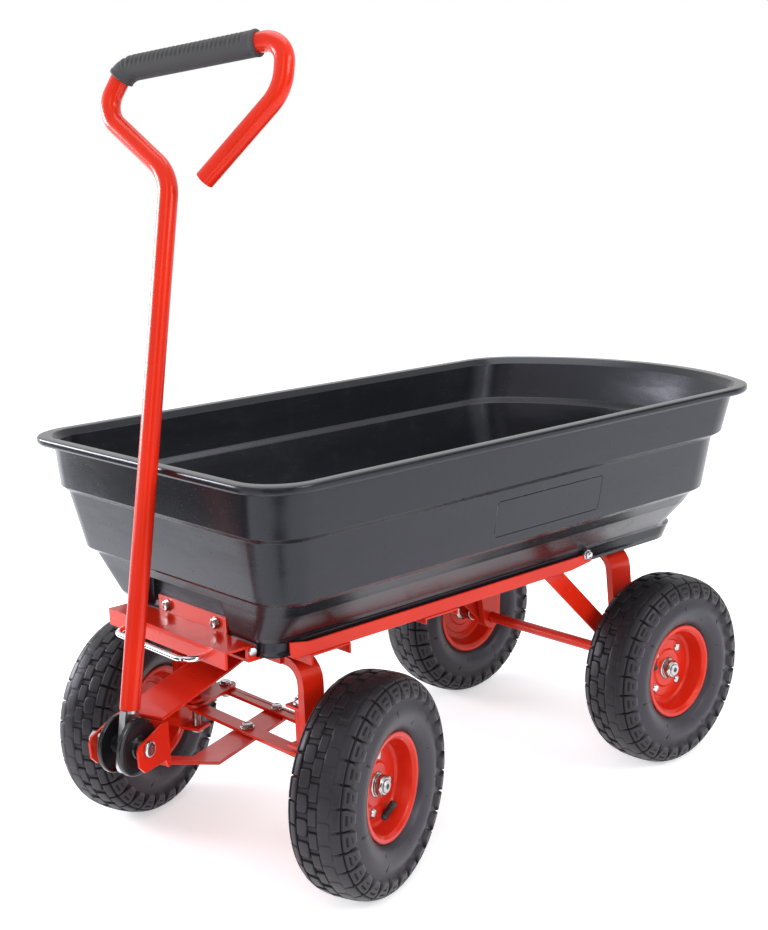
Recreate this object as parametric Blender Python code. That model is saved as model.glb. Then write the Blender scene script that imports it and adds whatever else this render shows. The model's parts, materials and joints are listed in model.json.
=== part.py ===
"""Four-wheel garden cart: a tipping poly tub on a steel frame, steered front wheels and a folding pull handle.

Metres, +Z up, the handle at -X, standing on z = 0. The steering stands turned by STEER_TURN.
Pieces of the frame are drawn with x measured rearwards from the front axle.
"""
import math

import bmesh
import bpy
from mathutils import Matrix, Vector

# Clearances
GAP = 0.0003
PIN_CLEARANCE = 0.0003

# Wheels
TYRE_DIAMETER = 0.260
TYRE_WIDTH = 0.083
LUG_HEIGHT = 0.0045
LUGS_AROUND = 16
TREAD_DROP = 0.0065
RIM_FLANGE_RADIUS = 0.0640
RIM_SEAT_RADIUS = 0.0562
RIM_HALF_WIDTH = 0.0300
RIM_SHEET = 0.0030
RIM_WEB_OUT = 0.0060
HUB_RADIUS = 0.0130
HUB_FLANGE_RADIUS = 0.0200
HUB_INNER_REACH = 0.0360
HUB_OUTER_REACH = 0.0105
AXLE_RADIUS = 0.0080
AXLE_END_REACH = 0.0225
AXLE_NUT_RADIUS = 0.0125
AXLE_WASHER_RADIUS = 0.0130
AXLE_COLLAR_RADIUS = 0.0120

# Layout
WHEELBASE = 0.5600
TRACK = 0.4000
FRONT_AXLE_X = -0.2620
STEER_TURN = math.radians(20.0)
AXLE_Z = TYRE_DIAMETER / 2

# Tub
TUB_LENGTH = 0.9190
TUB_WIDTH = 0.5130
TUB_FRONT_OVERHANG = 0.1380
TUB_BASE_ABOVE_AXLE = 0.1610
TUB_HEIGHT = 0.2200
TUB_WALL = 0.0040
TUB_LIP_WIDTH = 0.0160
TUB_LIP_DEPTH = 0.0085
TUB_REAR_BOW_RADIUS = 0.3900
TUB_REAR_CORNER_RADIUS = 0.0850
TUB_FRONT_CORNER_RADIUS = 0.0600
TUB_FOOT_CORNER_RADIUS = 0.0240
TUB_UPPER_STEP_HEIGHT = 0.1585
TUB_LOWER_STEP_HEIGHT = 0.0805
TUB_STEP_RISE = 0.0065
TUB_FOOT_HEIGHT = 0.0195
TUB_SIDE_CLEARANCE = 0.0040
TUB_BASE_FRONT_INSET = 0.0720
TUB_BASE_REAR_INSET = 0.0980
POCKET_HALF_WIDTH = 0.0860
POCKET_HEIGHT = 0.0620
PANEL_FRONT = 0.2200
PANEL_LENGTH = 0.1900
PANEL_HEIGHT = 0.0460
PANEL_DEPTH = 0.0012

# Rails and their cross members
RAIL_THICKNESS = 0.0030
RAIL_OUTER_Y = 0.1550
RAIL_FLANGE_WIDTH = 0.0300
RAIL_SIDE_HEIGHT = 0.0163
RAIL_FRONT_X = -0.0440
RAIL_REAR_X = 0.4660
RAIL_EAR_RISE = 0.0050
RAIL_TAPER_LENGTH = 0.0400
RAIL_TAPER_RISE = 0.0045
CROSS_MEMBER_DEPTH = 0.0085
CROSS_FRONT_X = -0.0150
CROSS_FRONT_LENGTH = 0.0590
CROSS_REAR_X = 0.1610
CROSS_REAR_LENGTH = 0.0560
CROSS_THICKNESS = 0.0030
STUD_X = 0.4570
STUD_RADIUS = 0.0040

# Front arch, beam and steering
ARCH_WIDTH = 0.0300
ARCH_THICKNESS = 0.0110
ARCH_OUTER_Y = 0.1370
ARCH_CORNER_RADIUS = 0.0300
KINGPIN_Y = 0.1120
KINGPIN_RADIUS = 0.0050
TAB_THICKNESS = 0.0035
LOWER_TAB_ABOVE_AXLE = 0.0300
UPPER_TAB_ABOVE_AXLE = 0.0795
BEAM_WIDTH = 0.0210
BEAM_THICKNESS = 0.0045
BEAM_ABOVE_AXLE = 0.0175
KNUCKLE_PLATE = 0.0040
KNUCKLE_WIDTH = 0.0250
KNUCKLE_WEB_Y = 0.0200
KNUCKLE_FOOT_BELOW_AXLE = 0.0050
KNUCKLE_CORNER_RADIUS = 0.0060
STEERING_ARM = 0.0680
STEERING_ARM_WIDTH = 0.0280
TIE_ROD_WIDTH = 0.0180
PIN_RADIUS = 0.0040

# Drawbar, neck and hitch
DRAWBAR_WIDTH = 0.0390
DRAWBAR_THICKNESS = 0.0040
DRAWBAR_REAR = 0.0780
DRAWBAR_BEND = 0.0880
NECK_WIDTH = 0.0600
NECK_REAR = 0.0220
NECK_BEND = 0.0700
NECK_BEND_DROP = 0.0060
HITCH_PLATE_S = 0.2005
HITCH_THICKNESS = 0.0040
HITCH_HALF_WIDTH = 0.0340
HITCH_EAR_THICKNESS = 0.0030
HITCH_EAR_REACH = 0.0505
HITCH_TOP_Z = 0.2395
HITCH_BOTTOM_Z = 0.1880
HANDLE_PIVOT_S = 0.2340
HANDLE_PIVOT_Z = 0.2220
HANDLE_BOLT_RADIUS = 0.0050

# Handle
HANDLE_LEAN = math.radians(13.6)
HANDLE_TUBE_RADIUS = 0.0110
HANDLE_TUBE_BORE = 0.0092
HANDLE_OFFSET = -0.0055
HANDLE_TUBE_START = 0.0380
HANDLE_SOCKET_DEPTH = 0.0200
HANDLE_NECK_HEIGHT = 0.6160
LOOP_SHOULDER_REACH = 0.0905
LOOP_SHOULDER_RISE = 0.0722
LOOP_GRIP_REACH = 0.0660
LOOP_GRIP_RISE = 0.1185
LOOP_FAR_REACH = 0.1420
LOOP_FAR_RISE = 0.1390
LOOP_KNEE_RISE = 0.0840
LOOP_END_REACH = 0.0520
LOOP_END_DROP = 0.0070
LOOP_WIDE_BEND = 0.0480
LOOP_TIGHT_BEND = 0.0290
HANDLE_DISC_RADIUS = 0.0320
HANDLE_DISC_WALL = 0.0025
HANDLE_DISC_DEPTH = 0.0120
HANDLE_DISC_BOSS = 0.0110
TONGUE_THICKNESS = 0.0080
TONGUE_WIDTH = 0.0240
TONGUE_REACH = 0.0310
GRIP_RADIUS = 0.0150
GRIP_START = 0.7270
GRIP_LENGTH = 0.1840

# Rear struts, axle and tilt arch
STRUT_WIDTH = 0.0256
STRUT_THICKNESS = 0.0040
STRUT_OUTER_Y = 0.1445
STRUT_TOP_X = 0.4006
STRUT_EYE_RADIUS = 0.0165
REAR_ARCH_WIDTH = 0.0400
REAR_ARCH_LEAN = 0.0800
REAR_ARCH_EYE_RADIUS = 0.0170

# Latch
LATCH_SHELF_ABOVE_BASE = 0.0120
LATCH_SHELF_FRONT_X = -0.1060
LATCH_SHELF_HALF_WIDTH = 0.1215
LATCH_SHEET = 0.0030
LATCH_EAR_X = -0.0745
LATCH_EAR_WIDTH = 0.0110
LATCH_PIN_DROP = 0.0060
LATCH_LIP_DEPTH = 0.0205
STRIKER_HALF_WIDTH = 0.0700
STRIKER_HEIGHT = 0.0335
STRIKER_ABOVE_BASE = 0.0010
STRIKER_SHEET = 0.0030
STRIKER_BOLT_Y = 0.0500
STRIKER_BOLT_ABOVE_BASE = 0.0240
STRIKER_SLOT_HALF_WIDTH = 0.0240
LATCH_BOLT_HALF_WIDTH = 0.0220
LATCH_BOLT_THICKNESS = 0.0040
LATCH_ROD_RADIUS = 0.0030
LATCH_ROD_HALF_WIDTH = 0.0770
LATCH_ROD_REACH = 0.0255

# Fasteners
HEAD_HEIGHT = 0.0052
NUT_HEIGHT = 0.0065
FASTENER_SIDES = 12
ROUND_SIDES = 20

# Levels that several pieces share
TUB_BASE_Z = AXLE_Z + TUB_BASE_ABOVE_AXLE
TUB_BASE_INSET = TUB_WIDTH / 2 - (RAIL_OUTER_Y - RAIL_THICKNESS - TUB_SIDE_CLEARANCE)
RAIL_BOTTOM_Z = TUB_BASE_Z - GAP - RAIL_THICKNESS
CROSS_TOP_Z = RAIL_BOTTOM_Z - GAP
ARCH_TOP_Z = CROSS_TOP_Z - 0.0139
ARCH_SOFFIT_Z = ARCH_TOP_Z - ARCH_THICKNESS
BEAM_BOTTOM_Z = AXLE_Z + BEAM_ABOVE_AXLE
BEAM_TOP_Z = BEAM_BOTTOM_Z + BEAM_THICKNESS
ARM_BOTTOM_Z = BEAM_TOP_Z + GAP
ARM_TOP_Z = ARM_BOTTOM_Z + KNUCKLE_PLATE
KNUCKLE_FOOT_TOP_Z = AXLE_Z - KNUCKLE_FOOT_BELOW_AXLE
DRAWBAR_TOP_Z = BEAM_BOTTOM_Z - GAP
NECK_TOP_Z = ARCH_SOFFIT_Z - GAP
LOWER_TAB_Z = AXLE_Z + LOWER_TAB_ABOVE_AXLE
UPPER_TAB_Z = AXLE_Z + UPPER_TAB_ABOVE_AXLE
WHEEL_OFFSET = TRACK / 2 - KINGPIN_Y
TUB_BASE_FRONT_X = -TUB_FRONT_OVERHANG + TUB_BASE_FRONT_INSET
STRIKER_BACK_X = TUB_BASE_FRONT_X - GAP
STRIKER_FRONT_X = STRIKER_BACK_X - STRIKER_SHEET
LATCH_SHELF_Z = TUB_BASE_Z + LATCH_SHELF_ABOVE_BASE
LATCH_BOLT_Z = TUB_BASE_Z + 0.0035
LATCH_ROD_Z = LATCH_BOLT_Z - GAP - LATCH_ROD_RADIUS
STUD_Z = TUB_BASE_Z + 0.0120

# Finishes: colour, roughness, metallic
FINISHES = {
    "red_paint": ((0.78, 0.05, 0.02), 0.25, 0.0),
    "tub_plastic": ((0.035, 0.036, 0.040), 0.35, 0.0),
    "tyre_rubber": ((0.020, 0.020, 0.021), 0.75, 0.0),
    "grip_foam": ((0.045, 0.045, 0.048), 0.80, 0.0),
    "black_plastic": ((0.018, 0.018, 0.019), 0.40, 0.0),
    "zinc": ((0.66, 0.66, 0.64), 0.32, 1.0),
    "chrome": ((0.80, 0.80, 0.80), 0.10, 1.0),
}


def clear_scene():
    """Remove every object, so the script can be run again in the same file."""
    for item in list(bpy.data.objects):
        bpy.data.objects.remove(item)


def solid(bm):
    """A loose object from a bmesh, with its faces turned outwards."""
    bmesh.ops.remove_doubles(bm, verts=bm.verts, dist=0.000001)
    bmesh.ops.recalc_face_normals(bm, faces=bm.faces)
    mesh = bpy.data.meshes.new("shape")
    bm.to_mesh(mesh)
    bm.free()
    item = bpy.data.objects.new("shape", mesh)
    bpy.context.scene.collection.objects.link(item)
    return item


def combine(target, tool, operation):
    """Join, cut or intersect the target with the tool, and take the tool away."""
    modifier = target.modifiers.new("combine", "BOOLEAN")
    modifier.operation = operation
    modifier.solver = "EXACT"
    modifier.object = tool
    graph = bpy.context.evaluated_depsgraph_get()
    result = bpy.data.meshes.new_from_object(target.evaluated_get(graph))
    target.modifiers.clear()
    target.data = result
    bpy.data.objects.remove(tool)
    return target


def fuse(target, tool):
    return combine(target, tool, "UNION")


def cut(target, tool):
    return combine(target, tool, "DIFFERENCE")


def rings_body(rings, closed=False):
    """A loft through rings of equally many points: capped at its ends, or closed on itself."""
    bm = bmesh.new()
    rows = [[bm.verts.new(point) for point in ring] for ring in rings]
    count = len(rows[0])
    pairs = list(zip(rows, rows[1:]))
    if closed:
        pairs.append((rows[-1], rows[0]))
    for row, following in pairs:
        for i in range(count):
            j = (i + 1) % count
            bm.faces.new((row[i], row[j], following[j], following[i]))
    if not closed:
        bm.faces.new(rows[0])
        bm.faces.new(list(reversed(rows[-1])))
    return solid(bm)


def prism(outline, thickness):
    """A flat outline of 3-D points pushed out along the thickness vector."""
    bm = bmesh.new()
    face = bm.faces.new([bm.verts.new(point) for point in outline])
    grown = bmesh.ops.extrude_face_region(bm, geom=[face])
    moved = [item for item in grown["geom"] if isinstance(item, bmesh.types.BMVert)]
    bmesh.ops.translate(bm, verts=moved, vec=thickness)
    return solid(bm)


def plate_xy(outline, z_low, z_high):
    return prism([(x, y, z_low) for x, y in outline], (0, 0, z_high - z_low))


def plate_xz(outline, y_from, y_to):
    return prism([(x, y_from, z) for x, z in outline], (0, y_to - y_from, 0))


def plate_yz(outline, x_from, x_to):
    return prism([(x_from, y, z) for y, z in outline], (x_to - x_from, 0, 0))


def box(low, high):
    outline = [(low[0], low[1]), (high[0], low[1]), (high[0], high[1]), (low[0], high[1])]
    return plate_xy(outline, low[2], high[2])


def circle(radius, sides, start=0.0):
    """Points of a regular polygon in the plane."""
    angles = [start + 2 * math.pi * i / sides for i in range(sides)]
    return [(radius * math.cos(angle), radius * math.sin(angle)) for angle in angles]


def hexagon(radius):
    """A hexagon with a point on each corner and each side's middle, to meet a ring of twelve."""
    flat = radius * math.cos(math.pi / 6)
    points = []
    for i in range(FASTENER_SIDES):
        reach = radius if i % 2 == 0 else flat
        angle = 2 * math.pi * i / FASTENER_SIDES
        points.append((reach * math.cos(angle), reach * math.sin(angle)))
    return points


def along(axis, origin, u, v, w):
    """The point at u, v across and w along an axis named by its letter, from an origin."""
    offsets = {"X": (w, u, v), "Y": (v, w, u), "Z": (u, v, w)}[axis]
    return tuple(base + offset for base, offset in zip(origin, offsets))


def turned(sections, axis="Z", origin=(0, 0, 0), sides=FASTENER_SIDES, closed=False):
    """A turned body through sections of (place along the axis, radius, 'round' or 'hex')."""
    rings = []
    for place, radius, kind in sections:
        points = hexagon(radius) if kind == "hex" else circle(radius, sides)
        rings.append([along(axis, origin, u, v, place) for u, v in points])
    return rings_body(rings, closed)


def drill(target, centre, axis, radius, reach, sides=FASTENER_SIDES):
    """Cut a round hole through the target, to the reach on both sides of the centre."""
    hole_radius = radius / math.cos(math.pi / sides)
    sections = [(-reach, hole_radius, "round"), (reach, hole_radius, "round")]
    return cut(target, turned(sections, axis, centre, sides))


def bolt(axis, origin, shank_from, shank_to, radius, head_radius, head_at_low, nut_inner,
         sides=FASTENER_SIDES):
    """A bolt with its washers and nut: head at one end, nut from nut_inner to its outer face."""
    sign = 1 if head_at_low else -1
    nut_outer = nut_inner + sign * NUT_HEIGHT
    sections = [
        (shank_from - sign * HEAD_HEIGHT, head_radius, "hex"),
        (shank_from - sign * HEAD_HEIGHT * 0.25, head_radius, "hex"),
        (shank_from - sign * HEAD_HEIGHT * 0.25, head_radius * 1.15, "round"),
        (shank_from, head_radius * 1.15, "round"),
        (shank_from, radius, "round"),
        (nut_inner, radius, "round"),
        (nut_inner, head_radius, "hex"),
        (nut_outer, head_radius, "hex"),
        (nut_outer, radius, "round"),
        (shank_to, radius * 0.9, "round"),
    ]
    return turned(sections, axis, origin, sides)


def arc(centre, radius, start, end, steps):
    """Points on an arc, both ends included."""
    angles = [start + (end - start) * i / steps for i in range(steps + 1)]
    return [(centre[0] + radius * math.cos(a), centre[1] + radius * math.sin(a)) for a in angles]


def stadium(x_from, x_to, y, half_width, steps=6):
    """A bar outline with round ends whose end centres are at x_from and x_to."""
    front = arc((x_from, y), half_width, math.pi / 2, 3 * math.pi / 2, steps)
    rear = arc((x_to, y), half_width, -math.pi / 2, math.pi / 2, steps)
    return front + rear


def rounded(points, radii, steps=4):
    """An open run of points whose inner corners become arcs that touch both neighbours."""
    run = [Vector(points[0])]
    for before, corner, after, radius in zip(points, points[1:], points[2:], radii):
        corner = Vector(corner)
        back = (Vector(before) - corner).normalized()
        ahead = (Vector(after) - corner).normalized()
        half_angle = back.angle(ahead) / 2
        middle = corner + (back + ahead).normalized() * (radius / math.sin(half_angle))
        first = corner + back * (radius / math.tan(half_angle))
        last = corner + ahead * (radius / math.tan(half_angle))
        start_arm = first - middle
        end_arm = last - middle
        turn = start_arm.angle(end_arm)
        for i in range(steps + 1):
            share = i / steps
            arm = (start_arm * math.sin((1 - share) * turn)
                   + end_arm * math.sin(share * turn)) / math.sin(turn)
            run.append(middle + arm)
    run.append(Vector(points[-1]))
    return run


def offset_run(points, distance):
    """A planar run of points moved sideways by the distance, with mitred corners."""
    moved = []
    for i, point in enumerate(points):
        before = Vector(points[max(i - 1, 0)])
        after = Vector(points[min(i + 1, len(points) - 1)])
        here = Vector(point)
        first = (here - before).normalized() if i > 0 else (after - here).normalized()
        second = (after - here).normalized() if i < len(points) - 1 else first
        normal = Vector((-first.y, first.x)) + Vector((-second.y, second.x))
        normal.normalize()
        stretch = max(normal.dot(Vector((-first.y, first.x))), 0.5)
        moved.append(here + normal * (distance / stretch))
    return moved


def bent_sheet(run, thickness, y_from, y_to):
    """A sheet bent along a run in the x-z plane, its thickness below the run."""
    top = [tuple(point) for point in run]
    under = [tuple(point) for point in offset_run([Vector(point) for point in run], thickness)]
    return plate_xz(top + under[::-1], y_from, y_to)


def frame_along(path):
    """A direction and two crosswise directions at each point of a planar path in the y-z plane."""
    frames = []
    for i, point in enumerate(path):
        before = path[max(i - 1, 0)]
        after = path[min(i + 1, len(path) - 1)]
        direction = (after - before).normalized()
        across = Vector((1, 0, 0))
        frames.append((point, direction, across, direction.cross(across)))
    return frames


def tube_rings(path, radii, sides):
    rings = []
    for (point, direction, across, other), radius in zip(frame_along(path), radii):
        rings.append([point + across * u + other * v for u, v in circle(radius, sides)])
    return rings


def empty(name, location, parent=None, turn=(0, 0, 0)):
    item = bpy.data.objects.new(name, None)
    bpy.context.scene.collection.objects.link(item)
    item.empty_display_size = 0.03
    item.location = location
    item.rotation_euler = turn
    item.parent = parent
    return item


def place(item, name, finish, parent, location=(0, 0, 0), turn=(0, 0, 0), smooth=None):
    """Name a body, give it its own material and hang it on its parent."""
    item.name = name
    item.data.name = name
    item.parent = parent
    item.location = location
    item.rotation_euler = turn
    colour, roughness, metallic = FINISHES[finish]
    material = bpy.data.materials.new(name + "_" + finish)
    material.use_nodes = True
    shader = material.node_tree.nodes["Principled BSDF"]
    shader.inputs["Base Color"].default_value = (*colour, 1.0)
    shader.inputs["Roughness"].default_value = roughness
    shader.inputs["Metallic"].default_value = metallic
    material.diffuse_color = (*colour, 1.0)
    item.data.materials.clear()
    item.data.materials.append(material)
    item.data.shade_smooth()
    item.data.set_sharp_from_angle(angle=math.radians(35 if smooth is None else smooth))
    return item


def copy_of(source, name, parent, location=(0, 0, 0), turn=(0, 0, 0)):
    """A second object on the same mesh."""
    item = bpy.data.objects.new(name, source.data)
    bpy.context.scene.collection.objects.link(item)
    item.parent = parent
    item.location = location
    item.rotation_euler = turn
    return item


# Tub

def tub_outline(side_inset, front_inset, rear_inset, pocket_x):
    """The tub's plan at one level: straight front and sides, a bowed rear, round corners."""
    half = TUB_WIDTH / 2 - side_inset
    front = -TUB_FRONT_OVERHANG + front_inset
    bow = TUB_REAR_BOW_RADIUS - side_inset
    bow_centre = TUB_LENGTH - TUB_FRONT_OVERHANG - rear_inset - bow
    corner = TUB_REAR_CORNER_RADIUS - side_inset * 0.3
    depth = min(side_inset / TUB_BASE_INSET, 1.0)
    front_corner = TUB_FRONT_CORNER_RADIUS + (TUB_FOOT_CORNER_RADIUS - TUB_FRONT_CORNER_RADIUS) * depth
    corner_x = bow_centre + math.sqrt((bow - corner) ** 2 - (half - corner) ** 2)
    meet = math.atan2(half - corner, corner_x - bow_centre)
    pocket_front = max(front, pocket_x)
    pocket = [(pocket_front, 0), (pocket_front, POCKET_HALF_WIDTH - 0.004),
              (front, POCKET_HALF_WIDTH + 0.004)]
    front_arc = arc((front + front_corner, half - front_corner), front_corner, math.pi, math.pi / 2, 5)
    side_steps = 4
    side_from = front + front_corner
    side = [(side_from + (corner_x - side_from) * i / side_steps, half) for i in range(1, side_steps)]
    rear_corner = arc((corner_x, half - corner), corner, math.pi / 2, meet, 4)
    bow_run = arc((bow_centre, 0), bow, meet, 0, 5)[1:]
    half_outline = pocket + front_arc + side + rear_corner + bow_run
    mirrored = [(x, -y) for x, y in half_outline[::-1] if abs(y) > 1e-9]
    return half_outline + mirrored


def tub_profile():
    """Height above the base and the insets of side, front and rear, up the outer wall."""
    upper = TUB_UPPER_STEP_HEIGHT
    lower = TUB_LOWER_STEP_HEIGHT
    foot = TUB_FOOT_HEIGHT
    side = TUB_BASE_INSET
    front = TUB_BASE_FRONT_INSET
    rear = TUB_BASE_REAR_INSET
    return [
        (0.0, side, front, rear),
        (foot - 0.001, side - 0.0025, front - 0.0005, rear - 0.0120),
        (foot + 0.002, side - 0.0085, front - 0.0090, rear + 0.0060),
        (foot + 0.0075, side - 0.0120, front - 0.0130, rear + 0.0040),
        (POCKET_HEIGHT - 0.002, 0.0657, 0.0508, 0.0840),
        (POCKET_HEIGHT + 0.002, 0.0630, 0.0493, 0.0820),
        (lower - TUB_STEP_RISE, 0.0550, 0.0462, 0.0770),
        (lower, 0.0450, 0.0378, 0.0640),
        (upper - TUB_STEP_RISE, 0.0300, 0.0252, 0.0550),
        (upper, 0.0220, 0.0185, 0.0390),
        (TUB_HEIGHT - TUB_LIP_DEPTH, TUB_LIP_WIDTH, TUB_LIP_WIDTH, TUB_LIP_WIDTH + 0.0040),
    ]


def tub_shell():
    """Lofted rings: up the outside, over the rolled lip and down the inside to the floor."""
    outer = tub_profile()
    lip_low = TUB_HEIGHT - TUB_LIP_DEPTH
    wall = TUB_WALL
    lip = [
        (lip_low, 0.0020), (lip_low + 0.0025, 0.0), (TUB_HEIGHT - 0.0020, 0.0005),
        (TUB_HEIGHT, 0.0035), (TUB_HEIGHT, TUB_LIP_WIDTH),
    ]
    rings = []
    for height, side, front, rear in outer:
        pocket_x = TUB_BASE_FRONT_X if height < POCKET_HEIGHT else -TUB_FRONT_OVERHANG
        rings.append((height, side, front, rear, pocket_x))
    for height, inset in lip:
        rings.append((height, inset, inset, inset, -TUB_FRONT_OVERHANG))
    rings.append((TUB_HEIGHT - 0.003, TUB_LIP_WIDTH + wall, TUB_LIP_WIDTH + wall, TUB_LIP_WIDTH + wall,
                  -TUB_FRONT_OVERHANG))
    for height, side, front, rear in reversed(outer[1:-1]):
        pocket_x = TUB_BASE_FRONT_X + wall if height < POCKET_HEIGHT else -TUB_FRONT_OVERHANG
        rings.append((height + wall * 0.5, side + wall, front + wall, rear + wall, pocket_x))
    height, side, front, rear = outer[0]
    rings.append((wall, side + wall, front + wall, rear + wall, TUB_BASE_FRONT_X + wall))
    loft = []
    for height, side, front, rear, pocket_x in rings:
        outline = tub_outline(side, front, rear, pocket_x)
        loft.append([(x, y, TUB_BASE_Z + height) for x, y in outline])
    return rings_body(loft)


def wall_y(height):
    """Half width of the tub's outer wall at a height above its base."""
    rows = tub_profile()
    for low, high in zip(rows, rows[1:]):
        if low[0] <= height <= high[0]:
            share = (height - low[0]) / (high[0] - low[0])
            return TUB_WIDTH / 2 - (low[1] + (high[1] - low[1]) * share)
    return TUB_WIDTH / 2


def panel_recess(side):
    """A shallow bare field in the middle band of the side wall, parallel to the wall."""
    low = (TUB_LOWER_STEP_HEIGHT + TUB_UPPER_STEP_HEIGHT - TUB_STEP_RISE - PANEL_HEIGHT) / 2
    high = low + PANEL_HEIGHT
    y_low = wall_y(low) - PANEL_DEPTH
    y_high = wall_y(high) - PANEL_DEPTH
    out = 0.010
    ring = [
        (side * y_low, TUB_BASE_Z + low),
        (side * (y_low + out), TUB_BASE_Z + low),
        (side * (y_high + out), TUB_BASE_Z + high),
        (side * y_high, TUB_BASE_Z + high),
    ]
    return plate_yz(ring, PANEL_FRONT, PANEL_FRONT + PANEL_LENGTH)


def build_tub(parent, offset):
    tub = tub_shell()
    cut(tub, panel_recess(-1))
    for side in (-1, 1):
        centre = (STRIKER_BACK_X, side * STRIKER_BOLT_Y, TUB_BASE_Z + STRIKER_BOLT_ABOVE_BASE)
        drill(tub, centre, "X", PIN_RADIUS + PIN_CLEARANCE, 0.012)
        drill(tub, (STUD_X, side * (RAIL_OUTER_Y - 0.008), STUD_Z), "Y", STUD_RADIUS + PIN_CLEARANCE, 0.010)
        drill(tub, arch_bolt_centre(side), "Z", PIN_RADIUS + PIN_CLEARANCE, 0.010)
    place(tub, "tub", "tub_plastic", parent, offset, smooth=28)

    striker_low = TUB_BASE_Z + STRIKER_ABOVE_BASE
    striker = box((STRIKER_FRONT_X, -STRIKER_HALF_WIDTH, striker_low),
                  (STRIKER_BACK_X, STRIKER_HALF_WIDTH, striker_low + STRIKER_HEIGHT))
    slot_low = LATCH_BOLT_Z - 0.0010
    slot_high = LATCH_BOLT_Z + LATCH_BOLT_THICKNESS + 0.0010
    cut(striker, box(
        (STRIKER_FRONT_X - 0.01, -STRIKER_SLOT_HALF_WIDTH, slot_low),
        (STRIKER_BACK_X + 0.01, STRIKER_SLOT_HALF_WIDTH, slot_high),
    ))
    for side in (-1, 1):
        centre = (STRIKER_BACK_X, side * STRIKER_BOLT_Y, TUB_BASE_Z + STRIKER_BOLT_ABOVE_BASE)
        drill(striker, centre, "X", PIN_RADIUS + PIN_CLEARANCE, 0.012)
    place(striker, "striker_plate", "red_paint", parent, offset)

    for side, word in ((-1, "left"), (1, "right")):
        origin = (0, side * STRIKER_BOLT_Y, TUB_BASE_Z + STRIKER_BOLT_ABOVE_BASE)
        inside = STRIKER_BACK_X + TUB_WALL + GAP
        item = bolt("X", origin, STRIKER_FRONT_X - GAP, inside + NUT_HEIGHT + 0.002, PIN_RADIUS, 0.0065,
                    True, inside)
        place(item, "striker_bolt_" + word, "zinc", parent, offset)

        origin = (STUD_X, 0, STUD_Z)
        inside_y = TUB_WIDTH / 2 - TUB_BASE_INSET - TUB_WALL - GAP
        item = bolt("Y", origin, side * (RAIL_OUTER_Y + GAP), side * (inside_y - NUT_HEIGHT - 0.002),
                    STUD_RADIUS, 0.0062, side < 0, side * inside_y)
        place(item, "tub_stud_" + word, "zinc", parent, offset)

        origin = arch_bolt_centre(side)
        origin = (origin[0], origin[1], 0)
        item = bolt("Z", origin, TUB_BASE_Z + TUB_WALL + GAP, TUB_BASE_Z - ARCH_THICKNESS - NUT_HEIGHT - 0.003,
                    PIN_RADIUS, 0.0065, False, TUB_BASE_Z - ARCH_THICKNESS - 2 * GAP)
        place(item, "arch_bolt_" + word, "zinc", parent, offset)
    return tub


def arch_bolt_centre(side):
    rise = TUB_BASE_Z - AXLE_Z
    return (WHEELBASE - REAR_ARCH_LEAN * rise, side * 0.090, TUB_BASE_Z)


# Frame

def build_rail(side, name, parent):
    """An angle iron: an upright flange outside the tub's foot and a shelf under it."""
    bottom = RAIL_BOTTOM_Z
    top = bottom + RAIL_SIDE_HEIGHT
    seat = STUD_Z - STUD_RADIUS - PIN_CLEARANCE
    seat_x = STUD_X - STUD_RADIUS - PIN_CLEARANCE
    ear = top + RAIL_EAR_RISE
    outline = [
        (RAIL_FRONT_X + 0.006, bottom),
        (RAIL_REAR_X - RAIL_TAPER_LENGTH, bottom),
        (RAIL_REAR_X, bottom + RAIL_TAPER_RISE),
        (RAIL_REAR_X, seat),
        (seat_x, seat),
        (seat_x, top),
        (RAIL_FRONT_X + 0.026, top),
        (RAIL_FRONT_X, ear),
        (RAIL_FRONT_X + 0.0005, bottom + 0.008),
    ]
    rail = plate_xz(outline, side * RAIL_OUTER_Y, side * (RAIL_OUTER_Y - RAIL_THICKNESS))
    shelf = box(
        (RAIL_FRONT_X + 0.012,
         min(side * (RAIL_OUTER_Y - 0.001), side * (RAIL_OUTER_Y - RAIL_FLANGE_WIDTH)), bottom),
        (RAIL_REAR_X - RAIL_TAPER_LENGTH,
         max(side * (RAIL_OUTER_Y - 0.001), side * (RAIL_OUTER_Y - RAIL_FLANGE_WIDTH)),
         bottom + RAIL_THICKNESS),
    )
    fuse(rail, shelf)
    return place(rail, name, "red_paint", parent)


def build_cross_member(name, x_from, length, depth, parent):
    """A pressed channel, open below, that ties the rails under the tub."""
    top = CROSS_TOP_Z
    low = top - depth
    sheet = CROSS_THICKNESS
    x_to = x_from + length
    outline = [
        (x_from, low), (x_from, top), (x_to, top), (x_to, low),
        (x_to - sheet, low), (x_to - sheet, top - sheet), (x_from + sheet, top - sheet), (x_from + sheet, low),
    ]
    return place(plate_xz(outline, -RAIL_OUTER_Y, RAIL_OUTER_Y), name, "red_paint", parent)


def arch_outline(outer_y, thickness, top_z, foot_z, corner):
    """An upside-down U of one strip: two legs and a beam with round shoulders."""
    points = [(-outer_y, foot_z), (-outer_y, top_z), (outer_y, top_z), (outer_y, foot_z)]
    outer = rounded([Vector(point) for point in points], [corner, corner], 5)
    inner = offset_run(outer, -thickness)
    return [tuple(point) for point in outer] + [tuple(point) for point in inner[::-1]]


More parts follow.
